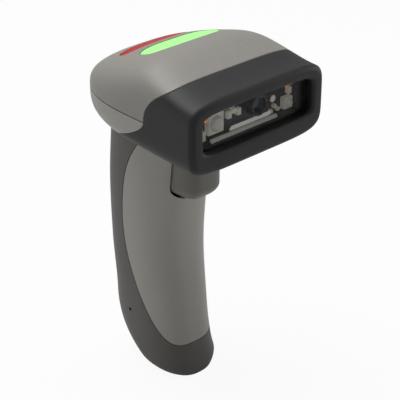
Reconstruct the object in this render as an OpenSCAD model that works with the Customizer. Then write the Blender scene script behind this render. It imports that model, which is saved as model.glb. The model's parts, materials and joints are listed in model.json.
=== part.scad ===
// Handheld barcode scanner: a wide head with a rubber-booted nose, on a pistol handle with a trigger.
// Millimetres. X is the width, the nose faces -Y, Z is up. The handle's base stands on Z = 0.
// Distances called depth are measured backwards from the plane of the nose.

/* [Head] */
// Width across the nose
head_w = 74; // [66:1:90]
// Length from the nose to the rear
head_len = 83.4; // [78:0.2:100]
// Height of the parting line between the two head shells
seam_z = 138; // [128:0.5:166]
// Height of the nose above the parting line
nose_up = 14.2; // [11:0.1:15]
// Height of the crown above the parting line
crown_up = 22.3; // [19:0.1:26]
// Depth of the head below the parting line
head_down = 16.5; // [15:0.5:20]
// Wall of the plastic shells
wall = 2; // [1.6:0.1:2.4]
// Gap shown at the parting line
seam_gap = 0.3; // [0.2:0.05:0.5]

/* [Nose boot] */
// Thickness of the rubber boot
boot_t = 2; // [1.6:0.1:2.4]
// Length of the boot along the top
boot_top = 15.5; // [14:1:20]
// Length of the boot along the sides
boot_side = 28; // [24:1:32]
// Length of the boot at the lower corners
boot_low = 56; // [50:1:60]
// Length of the boot under the head, ahead of the trigger
boot_under = 24; // [21:1:25]
// Radius of the boot's front edge
boot_edge = 2.5; // [1.5:0.25:3]

/* [Window] */
// Width of the window opening
window_w = 61; // [54:1:62]
// Height of the window opening
window_h = 16.5; // [15:0.5:18]
// Height of the opening's middle above the parting line
window_rise = 0.5; // [-1:0.25:1]
// Depth of the glass behind the nose
glass_depth = 3.5; // [3.5:0.25:6]
// Thickness of the glass
glass_t = 1; // [0.75:0.25:2]

/* [Handle] */
// Half width of the handle at the base
handle_base_half = 16.5; // [15:0.5:20]
// Half width of the handle under the head
handle_top_half = 18.5; // [17:0.5:21]
// Depth of the handle's back at its middle
handle_back = 82.8; // [76:0.2:83]
// Height of the lower end of the light front shell
panel_low = 15.4; // [11:0.2:20]
// Height of the upper end of the light front shell
panel_high = 123; // [113:0.5:135]
// How far the front shell wraps back round the sides
panel_wrap = 23.5; // [20:0.5:28]

/* [Trigger] */
// Width of the trigger
trigger_w = 21; // [18:0.5:23]
// Depth of the trigger's front face behind the nose
trigger_front = 29; // [27:0.5:31]
// Height of the trigger's lower end
trigger_low = 89.5; // [86:0.5:94]
// Radius of the trigger's pivot pin
pin_r = 1.5; // [1.2:0.1:2]
// Radial clearance of the pin in the trigger's hub
pin_clearance = 0.06; // [0.03:0.01:0.1]
// Travel of the trigger in degrees
trigger_travel = 6; // [3:1:7]

/* [Indicator lenses] */
// Length of the front lens
lens_w = 40; // [32:1:48]
// Depth of the front lens behind the nose
front_lens_depth = 46; // [44:0.5:48]
// Depth of the rear lens behind the nose
rear_lens_depth = 59.5; // [58:0.5:62]
// Width of the front lens from front to back
front_lens_d = 11; // [8:0.5:12]
// Width of the rear lens from front to back
rear_lens_d = 7; // [5:0.5:8]

/* [Cable socket] */
// Width of the socket's mouth
socket_w = 12; // [11:0.5:13]
// Depth of the socket's mouth
socket_d = 8; // [7:0.5:9]
// Length of the plug that the socket takes
socket_len = 15; // [12:1:18]
// Radius of the cable-release pinhole
release_r = 0.8; // [0.6:0.1:1.2]

/* [Hidden] */

// Clearance between pieces that sit in or on each other
fit = 0.1;
// Clearance round the trigger where it enters the handle
slot_gap = 0.45;
// Gap between the boot's rear edge and the head shells
boot_gap = 0.35;
// Gap round the indicator lenses
lens_gap = 0.35;
// How far a boolean cut runs past a face
past = 1;
// Depth of the head's rear half length, used to centre it on Y
half_len = head_len / 2;
// Small fillet-like chamfer where the boot turns into the window
lip_t = 3;

// Head: depths where the sides, top and underside start to curve to the rear, and how squarely
side_start = 37;
side_power = 2.5;
top_start = 28;
top_power = 1.6;
under_start = 35;
under_power = 2.15;
crown_depth = 38;
// Taper of the head's width from the nose to the rear, as a share
head_taper = 0.04;
// Squareness of the head's section at the nose, below at the rear and above at the rear
nose_power = 5.8;
rear_power = 4.1;
crown_power = 2.7;

// Handle: depth of the base's centre, and the radii that round its lower end
pole_depth = 33.3;
back_round = 34;
front_round = 13;
side_round = 7;
handle_power = 2.5;
// Height of the round end that the flat base cuts off
base_cut = 1;
handle_top = seam_z - 5.5;
// Height where the neck enters the head, and runs straight from there
neck_z = seam_z - head_down;
// Depth of the handle's back and front at heights up the handle
back_line = [[0, handle_back + 4.5], [30, handle_back - 2], [60, handle_back - 0.5], [90, handle_back],
    [neck_z, handle_back - 2.6], [seam_z, handle_back - 2.6]];
front_line = [[0, 34.5], [30, 38.8], [60, 41.5], [90, 39.3], [neck_z, 36], [seam_z, 36]];
half_line = [[0, handle_base_half], [60, (handle_base_half + handle_top_half) / 2 + 0.3],
    [neck_z, handle_top_half], [seam_z, handle_top_half]];
panel_mid = (panel_low + panel_high) / 2;
panel_half = (panel_high - panel_low) / 2;
// How much further the front shell wraps round at its top than at its middle
panel_lean = 8;

// Window opening
window_z = seam_z + window_rise;
window_power = 7;
// How far the glass seats beyond the opening
glass_seat = 1.2;

gasket_t = 0.6;

// Trigger
pin_depth = 45;
pin_z = neck_z - 3;
hub_r = pin_r + 1.8;
trigger_wall = 1.6;
trigger_back = 44.4;
trigger_top = neck_z + 1;
ear_w = 2.5;
slot_half = trigger_w / 2 + slot_gap;

// Trigger switch on its board behind the trigger
plunger_z = pin_z - 21.6;
plunger_r = 1.6;
plunger_bore = plunger_r + 0.06;
plunger_front = 54.5;
plunger_len = 5;
switch_front = plunger_front + 2.7;
switch_size = [7, 5.5, 7];
switch_board_depth = switch_front + switch_size[1];
switch_board = [20, 1.6, 50];
spring_z = pin_z - 12;
spring_r = 2.4;
spring_wire = 0.45;
spring_turns = 5;
nub_r = 1.3;

// Engine behind the window
engine_depth = glass_depth + glass_t + gasket_t + 2 * fit;
engine = [56, 20, 17];
// Depth of the pocket in the engine's front that the optics sit in
pocket = 5;
engine_wall = 1.2;

// Boards in the head
board_t = 1.6;
main_board_z = seam_z + 2;
main_board = [48, 30];
main_board_depth = 36;

// Pinhole in the grip's side that frees the cable
release_depth = 62.5;
release_z = 28;
release_in = 12.5;
release_out = 16;

// Socket in the handle's base
socket_depth = pole_depth + 12.6;
socket_wall = 1;
socket_z = 4;

// Screws: two from below through the head, one through the back of the grip
screw_r = 1.3;
screw_head_r = 2.6;
screw_head_h = 1.8;
boss_r = 3;
head_boss_x = 20.5;
head_boss_depth = head_len - 13;
boss_rise = 6.5;
grip_screw_z = 38;
grip_screw_len = 18;
grip_seat = handle_back - 4;
// Posts under the main board
post_r = 2.2;
board_post_x = 21.3;
board_post_depths = [main_board_depth + 9.5, main_board_depth + 26.5];

// ---- Surfaces ------------------------------------------------------------------------------

function clamp01(t) = min(1, max(0, t));
function ease(t) = let (c = clamp01(t)) c * c * (3 - 2 * c);
function signed_pow(v, p) = sign(v) * pow(abs(v), p);
// 1 up to t = 0, then a round fall to 0 at t = 1; a higher power keeps it square for longer
function round_end(t, p) = pow(max(0, 1 - pow(clamp01(t), p)), 1 / p);
function mix(a, b, t) = a + (b - a) * t;

// Smooth curve through a list of [position, value] pairs
function span_of(pts, u, i = 0) = i >= len(pts) - 2 || u < pts[i + 1][0] ? i : span_of(pts, u, i + 1);
function slope_at(pts, i) =
    let (a = max(0, i - 1), b = min(len(pts) - 1, i + 1)) (pts[b][1] - pts[a][1]) / (pts[b][0] - pts[a][0]);
function curve(pts, u) =
    let (
        i = span_of(pts, u),
        h = pts[i + 1][0] - pts[i][0],
        t = clamp01((u - pts[i][0]) / h),
        s = ease(t)
    )
    mix(pts[i][1], pts[i + 1][1], s)
        + slope_at(pts, i) * h * t * (1 - t) * (1 - t)
        - slope_at(pts, i + 1) * h * t * t * (1 - t);

// Point on the head at an angle round its section and a depth, moved in from the skin by inset
function head_point(angle, depth, inset = 0) =
    let (
        back = head_len - inset,
        half = (head_w / 2 - inset) * (1 - head_taper * depth / head_len)
            * round_end((depth - side_start) / (back - side_start), side_power),
        up = (mix(nose_up, crown_up, ease(depth / crown_depth)) - inset)
            * round_end((depth - top_start) / (back - top_start), top_power),
        low = (head_down - inset)
            * round_end((depth - under_start) / (back - under_start), under_power),
        c = cos(angle),
        s = sin(angle),
        e = 2 / mix(nose_power, s >= 0 ? crown_power : rear_power, ease(depth / 60))
    )
    [
        half * signed_pow(c, e),
        depth - half_len,
        seam_z + (s >= 0 ? up : low) * signed_pow(s, e)
    ];

// Height of the head's underside at a distance from the middle and a depth
function head_floor(x, depth) =
    let (
        half = head_point(0, depth)[0],
        low = seam_z - head_point(270, depth)[2],
        e = mix(nose_power, rear_power, ease(depth / 60))
    )
    seam_z - low * pow(max(0, 1 - pow(clamp01(x / half), e)), 1 / e);

// Depth where the boot ends, at an angle round the head
function boot_end(angle) =
    let (s = sin(angle), c = abs(cos(angle)))
    s >= 0 ? mix(boot_top, boot_side, pow(1 - s, 2))
        : c > 0.55 ? mix(boot_side, boot_low, pow(-s / 0.8352, 0.7))
        : mix(boot_under, boot_low, ease((c - 0.18) / 0.37));

// Point on the handle at an angle round it, 0 at the front and 180 at the back, and a height
function handle_point(angle, z, inset = 0) =
    let (
        rise = z + base_cut - inset,
        round_back = sqrt(1 - pow(1 - clamp01(rise / back_round), 2)),
        round_front = sqrt(1 - pow(1 - clamp01(rise / front_round), 2)),
        round_side = sqrt(1 - pow(1 - clamp01(rise / side_round), 2)),
        back = mix(pole_depth, curve(back_line, z), round_back) - inset,
        front = mix(pole_depth, curve(front_line, z), round_front) + inset,
        half = (curve(half_line, z) - inset) * round_side,
        e = 2 / handle_power
    )
    [
        -half * signed_pow(sin(angle), e),
        (back + front) / 2 - (back - front) / 2 * signed_pow(cos(angle), e) - half_len,
        z
    ];

// Angle on the handle where the front shell gives way to the back grip; 0 above and below the shell.
// The shell's own edge is drawn in by gap.
function panel_angle(z, gap = 0) =
    let (
        t = (z - panel_mid) / (panel_half - gap),
        rim = (panel_wrap + panel_lean * t - gap) * sqrt(max(0, 1 - t * t)),
        front = handle_point(0, z)[1],
        back = handle_point(180, z)[1],
        c = 1 - 2 * rim / (back - front)
    )
    abs(t) >= 1 ? 0 : acos(signed_pow(c, handle_power / 2));

// ---- Solids from grids of points -------------------------------------------------------------

// Closed solid between an outer and an inner grid. same(i, j) names the grid place that a place
// shares its point with, so that tips and wrapped rows close.
module skin(outer, inner, same) {
    rows = len(outer);
    cols = len(outer[0]);
    count = rows * cols;
    function at(i, j) = let (p = same(i, j)) p[0] * cols + p[1];
    function joined(j) = at(0, j) == at(rows - 1, j);
    quads = concat(
        [for (i = [0 : rows - 2], j = [0 : cols - 2])
            [at(i, j), at(i + 1, j), at(i + 1, j + 1), at(i, j + 1)]],
        [for (i = [0 : rows - 2], j = [0 : cols - 2])
            [at(i, j) + count, at(i, j + 1) + count, at(i + 1, j + 1) + count, at(i + 1, j) + count]],
        [for (i = [0 : rows - 2]) if (at(i, 0) != at(i + 1, 0))
            [at(i + 1, 0), at(i, 0), at(i, 0) + count, at(i + 1, 0) + count]],
        [for (i = [0 : rows - 2]) if (at(i, cols - 1) != at(i + 1, cols - 1))
            [at(i, cols - 1), at(i + 1, cols - 1), at(i + 1, cols - 1) + count, at(i, cols - 1) + count]],
        [for (j = [0 : cols - 2]) if (!(joined(j) && joined(j + 1)))
            [at(0, j), at(0, j + 1), at(0, j + 1) + count, at(0, j) + count]],
        [for (j = [0 : cols - 2]) if (!(joined(j) && joined(j + 1)))
            [at(rows - 1, j + 1), at(rows - 1, j), at(rows - 1, j) + count, at(rows - 1, j + 1) + count]]
    );
    triangles = [for (q = quads, t = [[q[0], q[1], q[2]], [q[0], q[2], q[3]]])
        if (t[0] != t[1] && t[1] != t[2] && t[0] != t[2]) t];
    polyhedron(concat(flat(outer), flat(inner)), triangles);
}
function flat(grid) = [for (row = grid) each row];

// Closed ring from equal loops of points, one loop for each place round it
module ring(loops) {
    n = len(loops);
    m = len(loops[0]);
    triangles = [for (i = [0 : n - 1], j = [0 : m - 1])
        let (
            a = i * m + j,
            b = (i + 1) % n * m + j,
            c = (i + 1) % n * m + (j + 1) % m,
            d = i * m + (j + 1) % m
        )
        each [[a, b, c], [a, c, d]]];
    polyhedron(flat(loops), triangles);
}

// Outline of the window opening grown by an offset, as [x, z] from its middle
function window_outline(grow, steps) =
    [for (i = [0 : steps - 1]) let (a = i * 360 / steps) window_edge(a, grow)];
function window_edge(angle, grow) = [
    (window_w / 2 + grow) * signed_pow(cos(angle), 2 / window_power),
    (window_h / 2 + grow) * signed_pow(sin(angle), 2 / window_power)
];

// Plate standing upright across the head, from a depth backwards
module upright(depth, t) {
    translate([0, depth + t - half_len, 0]) rotate([90, 0, 0]) linear_extrude(t) children();
}
// Block by its middle in X, its front depth and its lower height
module block(x, depth, z, size) {
    translate([x - size[0] / 2, depth - half_len, z]) cube(size);
}
// Round bar lying along Y, by its front depth
module bar_y(x, depth, z, r, len) {
    translate([x, depth - half_len, z]) rotate([-90, 0, 0]) cylinder(h = len, r = r, $fn = 48);
}
// Upright post between two heights
module post(x, depth, z0, z1, r) {
    translate([x, depth - half_len, z0]) cylinder(h = z1 - z0, r = r, $fn = 48);
}
// Round bar lying along X, centred
module bar_x(depth, z, r, len) {
    translate([-len / 2, depth - half_len, z]) rotate([0, 90, 0]) cylinder(h = len, r = r, $fn = 48);
}

// ---- Head ------------------------------------------------------------------------------------

// Heights of the head screws' bosses and heads, from the underside where they stand
head_boss_low = head_floor(head_boss_x - boss_r, head_boss_depth - boss_r) + 1.2;
head_screw_z = head_boss_low + 4;

head_rows = 44;
head_cols = 14;
// Grid of the head's skin from the boot's end to the rear tip, between two angles and up to a ceiling
function head_grid(a0, a1, inset, ceiling) =
    [for (i = [0 : head_rows]) let (angle = mix(a0, a1, i / head_rows), start = boot_end(angle) + boot_gap)
        [for (j = [0 : head_cols])
            let (p = head_point(angle, mix(start, head_len - inset, sin(90 * j / head_cols)), inset))
            [p[0], p[1], min(p[2], ceiling)]]];

module head_shell(a0, a1, ceiling) {
    skin(head_grid(a0, a1, 0, ceiling), head_grid(a0, a1, wall, ceiling),
        function (i, j) j == head_cols ? [0, j] : [i, j]);
}
// Outline of the trigger's slot in the head's floor, seen from below
slot_ahead = slot_gap + (trigger_top - pin_z) * sin(trigger_travel);
function head_slot() = [for (a = [90 : -7.5 : -90])
    [slot_half * signed_pow(sin(a), 0.55),
        trigger_back - (trigger_back - trigger_front + slot_ahead) * pow(abs(cos(a)), 0.55) - half_len]];

module head_top_shell() color([0.62, 0.61, 0.58]) difference() {
    union() {
        head_shell(0, 180, seam_z + 2 * crown_up);
        for (x = [-1, 1]) post(x * head_boss_x, head_boss_depth, seam_z + fit, seam_z + boss_rise, boss_r);
    }
    lens_openings(lens_gap);
    for (x = [-1, 1]) post(x * head_boss_x, head_boss_depth, seam_z - past, seam_z + boss_rise - 3, screw_r);
}

module head_bottom_shell() color([0.5, 0.485, 0.45]) difference() {
    union() {
        head_shell(180, 360, seam_z - seam_gap);
        for (x = [-1, 1]) post(x * head_boss_x, head_boss_depth, head_boss_low + 1.2, seam_z, boss_r);
        for (x = [-1, 1], d = board_post_depths)
            post(x * board_post_x, d, head_floor(board_post_x - post_r, d) + 1.6, main_board_z, post_r);
    }
    translate([0, 0, neck_z - past]) linear_extrude(handle_top - neck_z + 2) polygon(
        [for (i = [0 : 47]) let (p = handle_point(i * 7.5, neck_z, -fit)) [p[0], p[1]]]);
    translate([0, 0, neck_z - past]) linear_extrude(wall + 4) polygon(head_slot());
    for (x = [-1, 1]) {
        post(x * head_boss_x, head_boss_depth, neck_z, seam_z + past, screw_r + fit);
        post(x * head_boss_x, head_boss_depth, neck_z - past, head_screw_z, screw_head_r + fit);
    }
    for (x = [-1, 1], d = board_post_depths)
        post(x * board_post_x, d, main_board_z - 6, main_board_z + past, 0.8);
}
// Screws that hold the two head shells together, from below
module head_screws() color([0.6, 0.6, 0.58]) for (x = [-1, 1]) {
    post(x * head_boss_x, head_boss_depth, head_screw_z - screw_head_h, head_screw_z, screw_head_r);
    post(x * head_boss_x, head_boss_depth, head_screw_z, seam_z + boss_rise - 4, screw_r - 0.05);
}

// ---- Nose boot and window --------------------------------------------------------------------

boot_steps = 88;
boot_cols = 9;
// Loop of the boot's section at an angle: skin, round front edge, lip into the window, inner face
function boot_loop(angle) =
    let (
        end = boot_end(angle),
        opening = window_edge(angle, 0),
        flare = window_edge(angle, 0.8),
        outside = [for (j = [0 : boot_cols]) head_point(angle, mix(end, boot_edge, j / boot_cols))],
        edge = [for (a = [30, 60, 90]) head_point(angle, boot_edge * (1 - sin(a)), boot_edge * (1 - cos(a)))],
        lip = [[flare[0], -half_len, window_z + flare[1]],
            [opening[0], 1 - half_len, window_z + opening[1]],
            [opening[0], lip_t - half_len, window_z + opening[1]]],
        inside = [for (j = [0 : boot_cols]) head_point(angle, mix(lip_t, end, j / boot_cols), boot_t)]
    )
    concat(outside, edge, lip, inside);

module nose_boot() color([0.2, 0.2, 0.2])
    ring([for (i = [0 : boot_steps - 1]) boot_loop(i * 360 / boot_steps)]);

// Hard ring inside the boot that carries the glass
frame_end = 20;
module window_frame() color([0.07, 0.07, 0.07])
    ring([for (i = [0 : boot_steps - 1]) let (angle = i * 360 / boot_steps) concat(
        [for (j = [0 : 3]) head_point(angle, mix(frame_end, lip_t + fit, j / 3), boot_t + fit)],
        [for (step = [[lip_t + fit, 0], [glass_depth, 0], [glass_depth, glass_seat + fit],
            [frame_end, glass_seat + fit]])
            let (p = window_edge(angle, step[1])) [p[0], step[0] - half_len, window_z + p[1]]])]);

module window() color([0.8, 0.85, 0.9, 0.35])
    upright(glass_depth + fit / 2, glass_t)
        translate([0, window_z]) polygon(window_outline(glass_seat, 64));

module window_gasket() color([0.1, 0.1, 0.1])
    upright(glass_depth + glass_t + fit, gasket_t) translate([0, window_z]) difference() {
        polygon(window_outline(glass_seat, 64));
        polygon(window_outline(-1, 64));
    }

// ---- Engine ----------------------------------------------------------------------------------

engine_z = window_z - engine[2] / 2;
module engine_chassis() color([0.09, 0.09, 0.09]) difference() {
    block(0, engine_depth, engine_z, engine);
    block(0, engine_depth - past, engine_z + engine_wall,
        [engine[0] - 2 * engine_wall, pocket + past, engine[2] - 2 * engine_wall]);
    bar_y(lens_x, engine_depth, lens_z, barrel_r + fit, engine[1] + past);
    for (x = engine_screw_xs) bar_y(x, engine_depth, window_z, engine_screw_r, pocket + 9);
}

// Lens tube that looks out of the engine
lens_x = 6.4;
lens_z = window_z + 0.5;
barrel_r = 4.4;
module lens_barrel() color([0.12, 0.12, 0.12]) difference() {
    bar_y(lens_x, engine_depth + 1.5, lens_z, barrel_r, engine[1] - 2.5);
    bar_y(lens_x, engine_depth + 1.5 - past, lens_z, barrel_r - 0.9, engine[1]);
}
module lens_glass() color([0.7, 0.8, 0.9, 0.4])
    translate([lens_x, engine_depth + 4.5 - half_len, lens_z]) rotate([90, 0, 0]) rotate_extrude($fn = 48)
        polygon([[0, -1.5], [barrel_r - 1, -0.6], [barrel_r - 1, 0.6], [0, 1.8]]);

engine_screw_xs = [-24.8, 16];
engine_screw_r = 0.9;
module engine_screws() color([0.75, 0.75, 0.72]) for (x = engine_screw_xs) {
    bar_y(x, engine_depth + pocket - 1.5, window_z, 1.5, 1.5);
    bar_y(x, engine_depth + pocket, window_z, engine_screw_r - 0.05, 8);
}

sensor_depth = engine_depth + engine[1] + fit;
module sensor_board() color([0.1, 0.3, 0.18])
    block(0, sensor_depth, engine_z + 0.5, [engine[0] - 8, board_t, engine[2] - 1]);

// Cylinder lens along the bottom of the window and the bright strip above it
bar_w = 36;
light_bar_r = 0.9;
module light_bar() color([0.85, 0.87, 0.88, 0.6])
    translate([-2.6, engine_depth + 1.1 - half_len, engine_z + engine_wall + light_bar_r + 0.1])
        rotate([0, 90, 0]) cylinder(h = bar_w, r = light_bar_r, center = true, $fn = 32);

module mirror_strip() color([0.85, 0.85, 0.83])
    translate([3.3, engine_depth + 3.5 - half_len, engine_z + engine_wall + 1.7]) rotate([35, 0, 0])
        cube([22, 0.8, 2.2], center = true);

// Light sources either side of the lens tube, standing on the pocket's floor
led_left = -16.6;
led_right = 24.3;
led_d = 2.4;
led_front = engine_depth + pocket - led_d;
module illumination_leds() color([0.72, 0.68, 0.55]) {
    block(led_left, led_front, window_z - 4.6, [8, led_d, 8.6]);
    block(led_right, led_front, window_z - 6.4, [4.6, led_d, 5]);
}
module led_lenses() color([0.9, 0.9, 0.85, 0.5])
    for (place = [[led_left, window_z - 0.3, 3.4], [led_right, window_z - 3.9, 2.1]])
        translate([place[0], led_front - fit - half_len, place[1]]) rotate([90, 0, 0])
            rotate_extrude($fn = 32) polygon([[0, 0], [place[2], 0], [place[2] - 0.3, 0.6],
                [place[2] - 1, 1.3], [0, 1.6]]);
module aiming_leds() color([0.9, 0.5, 0.12]) {
    block(16.3, led_front, window_z + 4.2, [7.4, led_d, 1.8]);
    block(24, led_front, window_z + 3.8, [5, led_d, 2.2]);
    block(-22.2, led_front, window_z + 1.9, [1.8, led_d, 2.4]);
}
// Small parts round the lens tube, on the pocket's floor
module engine_parts() color([0.7, 0.7, 0.66]) {
    for (i = [0 : 2])
        block(-8.6 + i * 2.6, led_front + 0.6, window_z - 1 + i % 2 * 1.6, [2.1, led_d - 0.6, 2.8 - i % 2]);
    for (i = [0 : 2])
        block(15.6 + i * 2, led_front + 0.9, window_z - 6.3 + i % 2 * 1.8, [1.4, led_d - 0.9, 1.5]);
    block(-9, led_front + 0.4, window_z + 3.6, [6, led_d - 0.4, 2.2]);
    block(-23.4, led_front, window_z - 6, [2.4, led_d, 3.8]);
    block(25.6, led_front + 0.5, window_z - 0.4, [1.8, led_d - 0.5, 2.8]);
}

// ---- Boards in the head ----------------------------------------------------------------------

module main_board() color([0.1, 0.32, 0.18]) difference() {
    block(0, main_board_depth, main_board_z, [main_board[0], main_board[1], board_t]);
    for (x = [-1, 1], d = board_post_depths)
        post(x * board_post_x, d, main_board_z - past, main_board_z + 3, 0.85);
}
// Screws that hold the main board on its posts
module board_screws() color([0.75, 0.75, 0.72]) for (x = [-1, 1], d = board_post_depths) {
    post(x * board_post_x, d, main_board_z + board_t, main_board_z + board_t + 1, 1.6);
    post(x * board_post_x, d, main_board_z - 4, main_board_z + board_t, 0.75);
}
module board_parts() color([0.14, 0.14, 0.15]) {
    block(-10, main_board_depth + 6, main_board_z + board_t, [12, 12, 1.6]);
    block(8, main_board_depth + 8, main_board_z + board_t, [8, 6, 1.2]);
    for (i = [0 : 4]) block(-18 + i * 6, main_board_depth + 22, main_board_z + board_t, [3, 1.8, 1]);
    block(0, main_board_depth + 0.6, main_board_z + board_t, [18, 4, 2.2]);
}
beeper_r = 5;
beeper_h = 4;
module beeper() color([0.1, 0.1, 0.1])
    translate([15, main_board_depth + 19 - half_len, main_board_z + board_t]) difference() {
        cylinder(h = beeper_h, r = beeper_r, $fn = 48);
        translate([0, 0, beeper_h - 2]) cylinder(h = 2 + past, r = 0.9, $fn = 24);
    }
// Ribbon along a list of [depth, z] points, as wide as w across X; thick is half its thickness as a vector
module ribbon(x, w, path, thick) {
    upper = [for (p = path) [p[0] - half_len, p[1]] + thick];
    lower = [for (i = [len(path) - 1 : -1 : 0]) [path[i][0] - half_len, path[i][1]] - thick];
    translate([x - w / 2, 0, 0]) rotate([90, 0, 90]) linear_extrude(w) polygon(concat(upper, lower));
}
flex_t = 0.35;
flex_start = sensor_depth + board_t + 0.2;
module flex_cable() color([0.75, 0.45, 0.15]) ribbon(0, 12,
    [for (i = [0 : 12]) let (t = i / 12)
        [mix(flex_start, main_board_depth + 1, t), mix(window_z + 1, main_board_z + board_t + 2.5, ease(t))
            + 3 * sin(180 * t)]], [0, flex_t / 2]);

// ---- Indicator -------------------------------------------------------------------------------

lens_t = 2.2;
carrier_t = 1.2;
// Layer under the crown between two distances from its skin, so that pieces follow its curve
module crown_layer(upper, lower) {
    steps = 20;
    cols = 10;
    skin([for (i = [0 : steps]) crown_row(i / steps, cols, upper)],
        [for (i = [0 : steps]) crown_row(i / steps, cols, lower)], function (i, j) [i, j]);
}
function crown_row(t, cols, inset) = [for (j = [0 : cols])
    head_point(mix(38, 142, t), mix(front_lens_depth - 10, rear_lens_depth + 7, j / cols), inset)];
function oval(half_w, half_d) = [for (i = [0 : 31]) let (a = i * 11.25)
    [half_w * signed_pow(cos(a), 0.5), half_d * signed_pow(sin(a), 0.7)]];
// Prism through the crown over one lens, grown by an offset
module lens_prism(depth, d, grow)
    translate([0, depth - half_len, seam_z + 4]) linear_extrude(24)
        polygon(oval(lens_w / 2 + grow, d / 2 + grow));
module lens_openings(grow) {
    lens_prism(front_lens_depth, front_lens_d, grow);
    lens_prism(rear_lens_depth, rear_lens_d, grow);
}
module front_lens() color([0.6, 0.95, 0.5]) intersection() {
    lens_prism(front_lens_depth, front_lens_d, 0);
    crown_layer(0.15, lens_t);
}
module rear_lens() color([0.75, 0.08, 0.06]) intersection() {
    lens_prism(rear_lens_depth, rear_lens_d, 0);
    crown_layer(0.15, lens_t);
}
// Dark plate under the crown that carries both lenses
module lens_carrier() color([0.12, 0.12, 0.12]) difference() {
    intersection() {
        translate([0, (front_lens_depth + rear_lens_depth) / 2 - half_len, seam_z + 4]) linear_extrude(24)
            polygon(oval(lens_w / 2 + 2.5, (rear_lens_depth - front_lens_depth) / 2 + 8));
        crown_layer(lens_t + fit, lens_t + fit + carrier_t);
    }
    lens_openings(-1.2);
}

indicator_z = seam_z + 8;
indicator_board_d = rear_lens_depth - front_lens_depth + 8;
module indicator_board() color([0.1, 0.32, 0.18])
    block(0, front_lens_depth - 4, indicator_z, [lens_w - 6, indicator_board_d, board_t]);
module indicator_leds() color([0.95, 0.95, 0.9])
    for (d = [front_lens_depth, rear_lens_depth - 0.5], i = [-1.5 : 1 : 1.5])
        block(i * lens_w / 5.2, d - 1.5, indicator_z + board_t, [3.4, 3, 1.6]);

// ---- Handle ----------------------------------------------------------------------------------

panel_gap = 0.2;
panel_rows = 20;
panel_cols = 22;
// Heights along the front shell's edge, closer together near its two ends
function panel_z(j, gap = 0) = panel_mid - (panel_half - gap) * cos(180 * j / panel_cols);
function panel_row(i, inset) = [for (j = [0 : panel_cols])
    let (z = panel_z(j, panel_gap), limit = j == 0 || j == panel_cols ? 0 : panel_angle(z, panel_gap))
    handle_point(mix(-limit, limit, i / panel_rows), z, inset)];

module handle_front_shell() color([0.5, 0.49, 0.46]) difference() {
    union() {
        skin([for (i = [0 : panel_rows]) panel_row(i, 0)], [for (i = [0 : panel_rows]) panel_row(i, wall)],
            function (i, j) j == 0 || j == panel_cols ? [0, j] : [i, j]);
        for (x = [-1, 1])
            translate([x * (slot_half + ear_w / 2), 0, 0]) bar_x(pin_depth, pin_z, hub_r + 0.6, ear_w);
        bar_y(0, curve(front_line, grip_screw_z) + 1, grip_screw_z, boss_r,
            grip_seat - 4 - curve(front_line, grip_screw_z));
    }
    trigger_slot();
    bar_x(pin_depth, pin_z, pin_r, 2 * slot_half + 2 * ear_w + 2);
    bar_y(0, grip_seat - grip_screw_len - past, grip_screw_z, screw_r, grip_screw_len);
}
// Slot for the trigger: its outline from the front, grown by the gap and dropped by the trigger's swing
slot_drop = (pin_depth - 36) * sin(trigger_travel);
slot_back = trigger_back + (pin_z - trigger_low) * sin(trigger_travel) + slot_gap + 0.3;
slot_front = 20;
module trigger_slot() upright(slot_front, slot_back - slot_front) polygon(concat(
    [for (a = [180 : 10 : 360])
        [slot_half * cos(a), trigger_low + trigger_round - slot_drop + (trigger_round + slot_gap) * sin(a)]],
    [[slot_half, handle_top + past], [-slot_half, handle_top + past]]));

grip_rows = 30;
foot_cols = 5;
neck_cols = 2;
// Heights up the grip: the foot from a floor, along the front shell's edge, then the neck
function grip_heights(floor) = concat(
    [for (j = [0 : foot_cols - 1]) mix(floor, panel_low, pow(j / foot_cols, 1.6))],
    [for (j = [0 : panel_cols]) panel_z(j)],
    [for (j = [1 : neck_cols]) mix(panel_high, handle_top, j / neck_cols)]);
// One row of the grip's grid, which starts at the middle of the base
function grip_row(i, inset) = concat(
    [[0, (handle_point(0, inset, inset)[1] + handle_point(180, inset, inset)[1]) / 2, inset]],
    [for (z = grip_heights(inset)) let (limit = panel_angle(z))
        handle_point(mix(limit, 360 - limit, i / grip_rows), z, inset)]);
panel_first = foot_cols + 1;
panel_last = panel_first + panel_cols;

module handle_back_grip() color([0.29, 0.28, 0.26]) difference() {
    union() {
        skin([for (i = [0 : grip_rows]) grip_row(i, 0)], [for (i = [0 : grip_rows]) grip_row(i, wall)],
            function (i, j) j == 0 ? [0, 0]
                : i == grip_rows && (j <= panel_first || j >= panel_last) ? [0, j]
                : [i, j]);
        bar_y(0, grip_seat - 3, grip_screw_z, boss_r + 1, handle_back - 2 - grip_seat + 3 - 0.5);
        translate([-release_in, release_depth - half_len, release_z]) rotate([0, -90, 0])
            cylinder(h = release_out - release_in, r = release_r + 1.6, $fn = 32);
    }
    trigger_slot();
    block(0, socket_depth - socket_d / 2 - fit, -past,
        [socket_w + 2 * fit, socket_d + 2 * fit, 2 * wall + 3]);
    bar_y(0, grip_seat - 5, grip_screw_z, screw_r + fit, 20);
    bar_y(0, grip_seat, grip_screw_z, screw_head_r + fit, 20);
    translate([-release_in + past, release_depth - half_len, release_z]) rotate([0, -90, 0])
        cylinder(h = 20, r = release_r, $fn = 32);
}
module grip_screw() color([0.6, 0.6, 0.58]) {
    bar_y(0, grip_seat, grip_screw_z, screw_head_r, screw_head_h);
    bar_y(0, grip_seat - grip_screw_len, grip_screw_z, screw_r - 0.05, grip_screw_len);
}

// ---- Trigger ---------------------------------------------------------------------------------

trigger_rows = 18;
trigger_cols = 12;
trigger_round = 6.5;
trigger_pole = 38;
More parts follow.
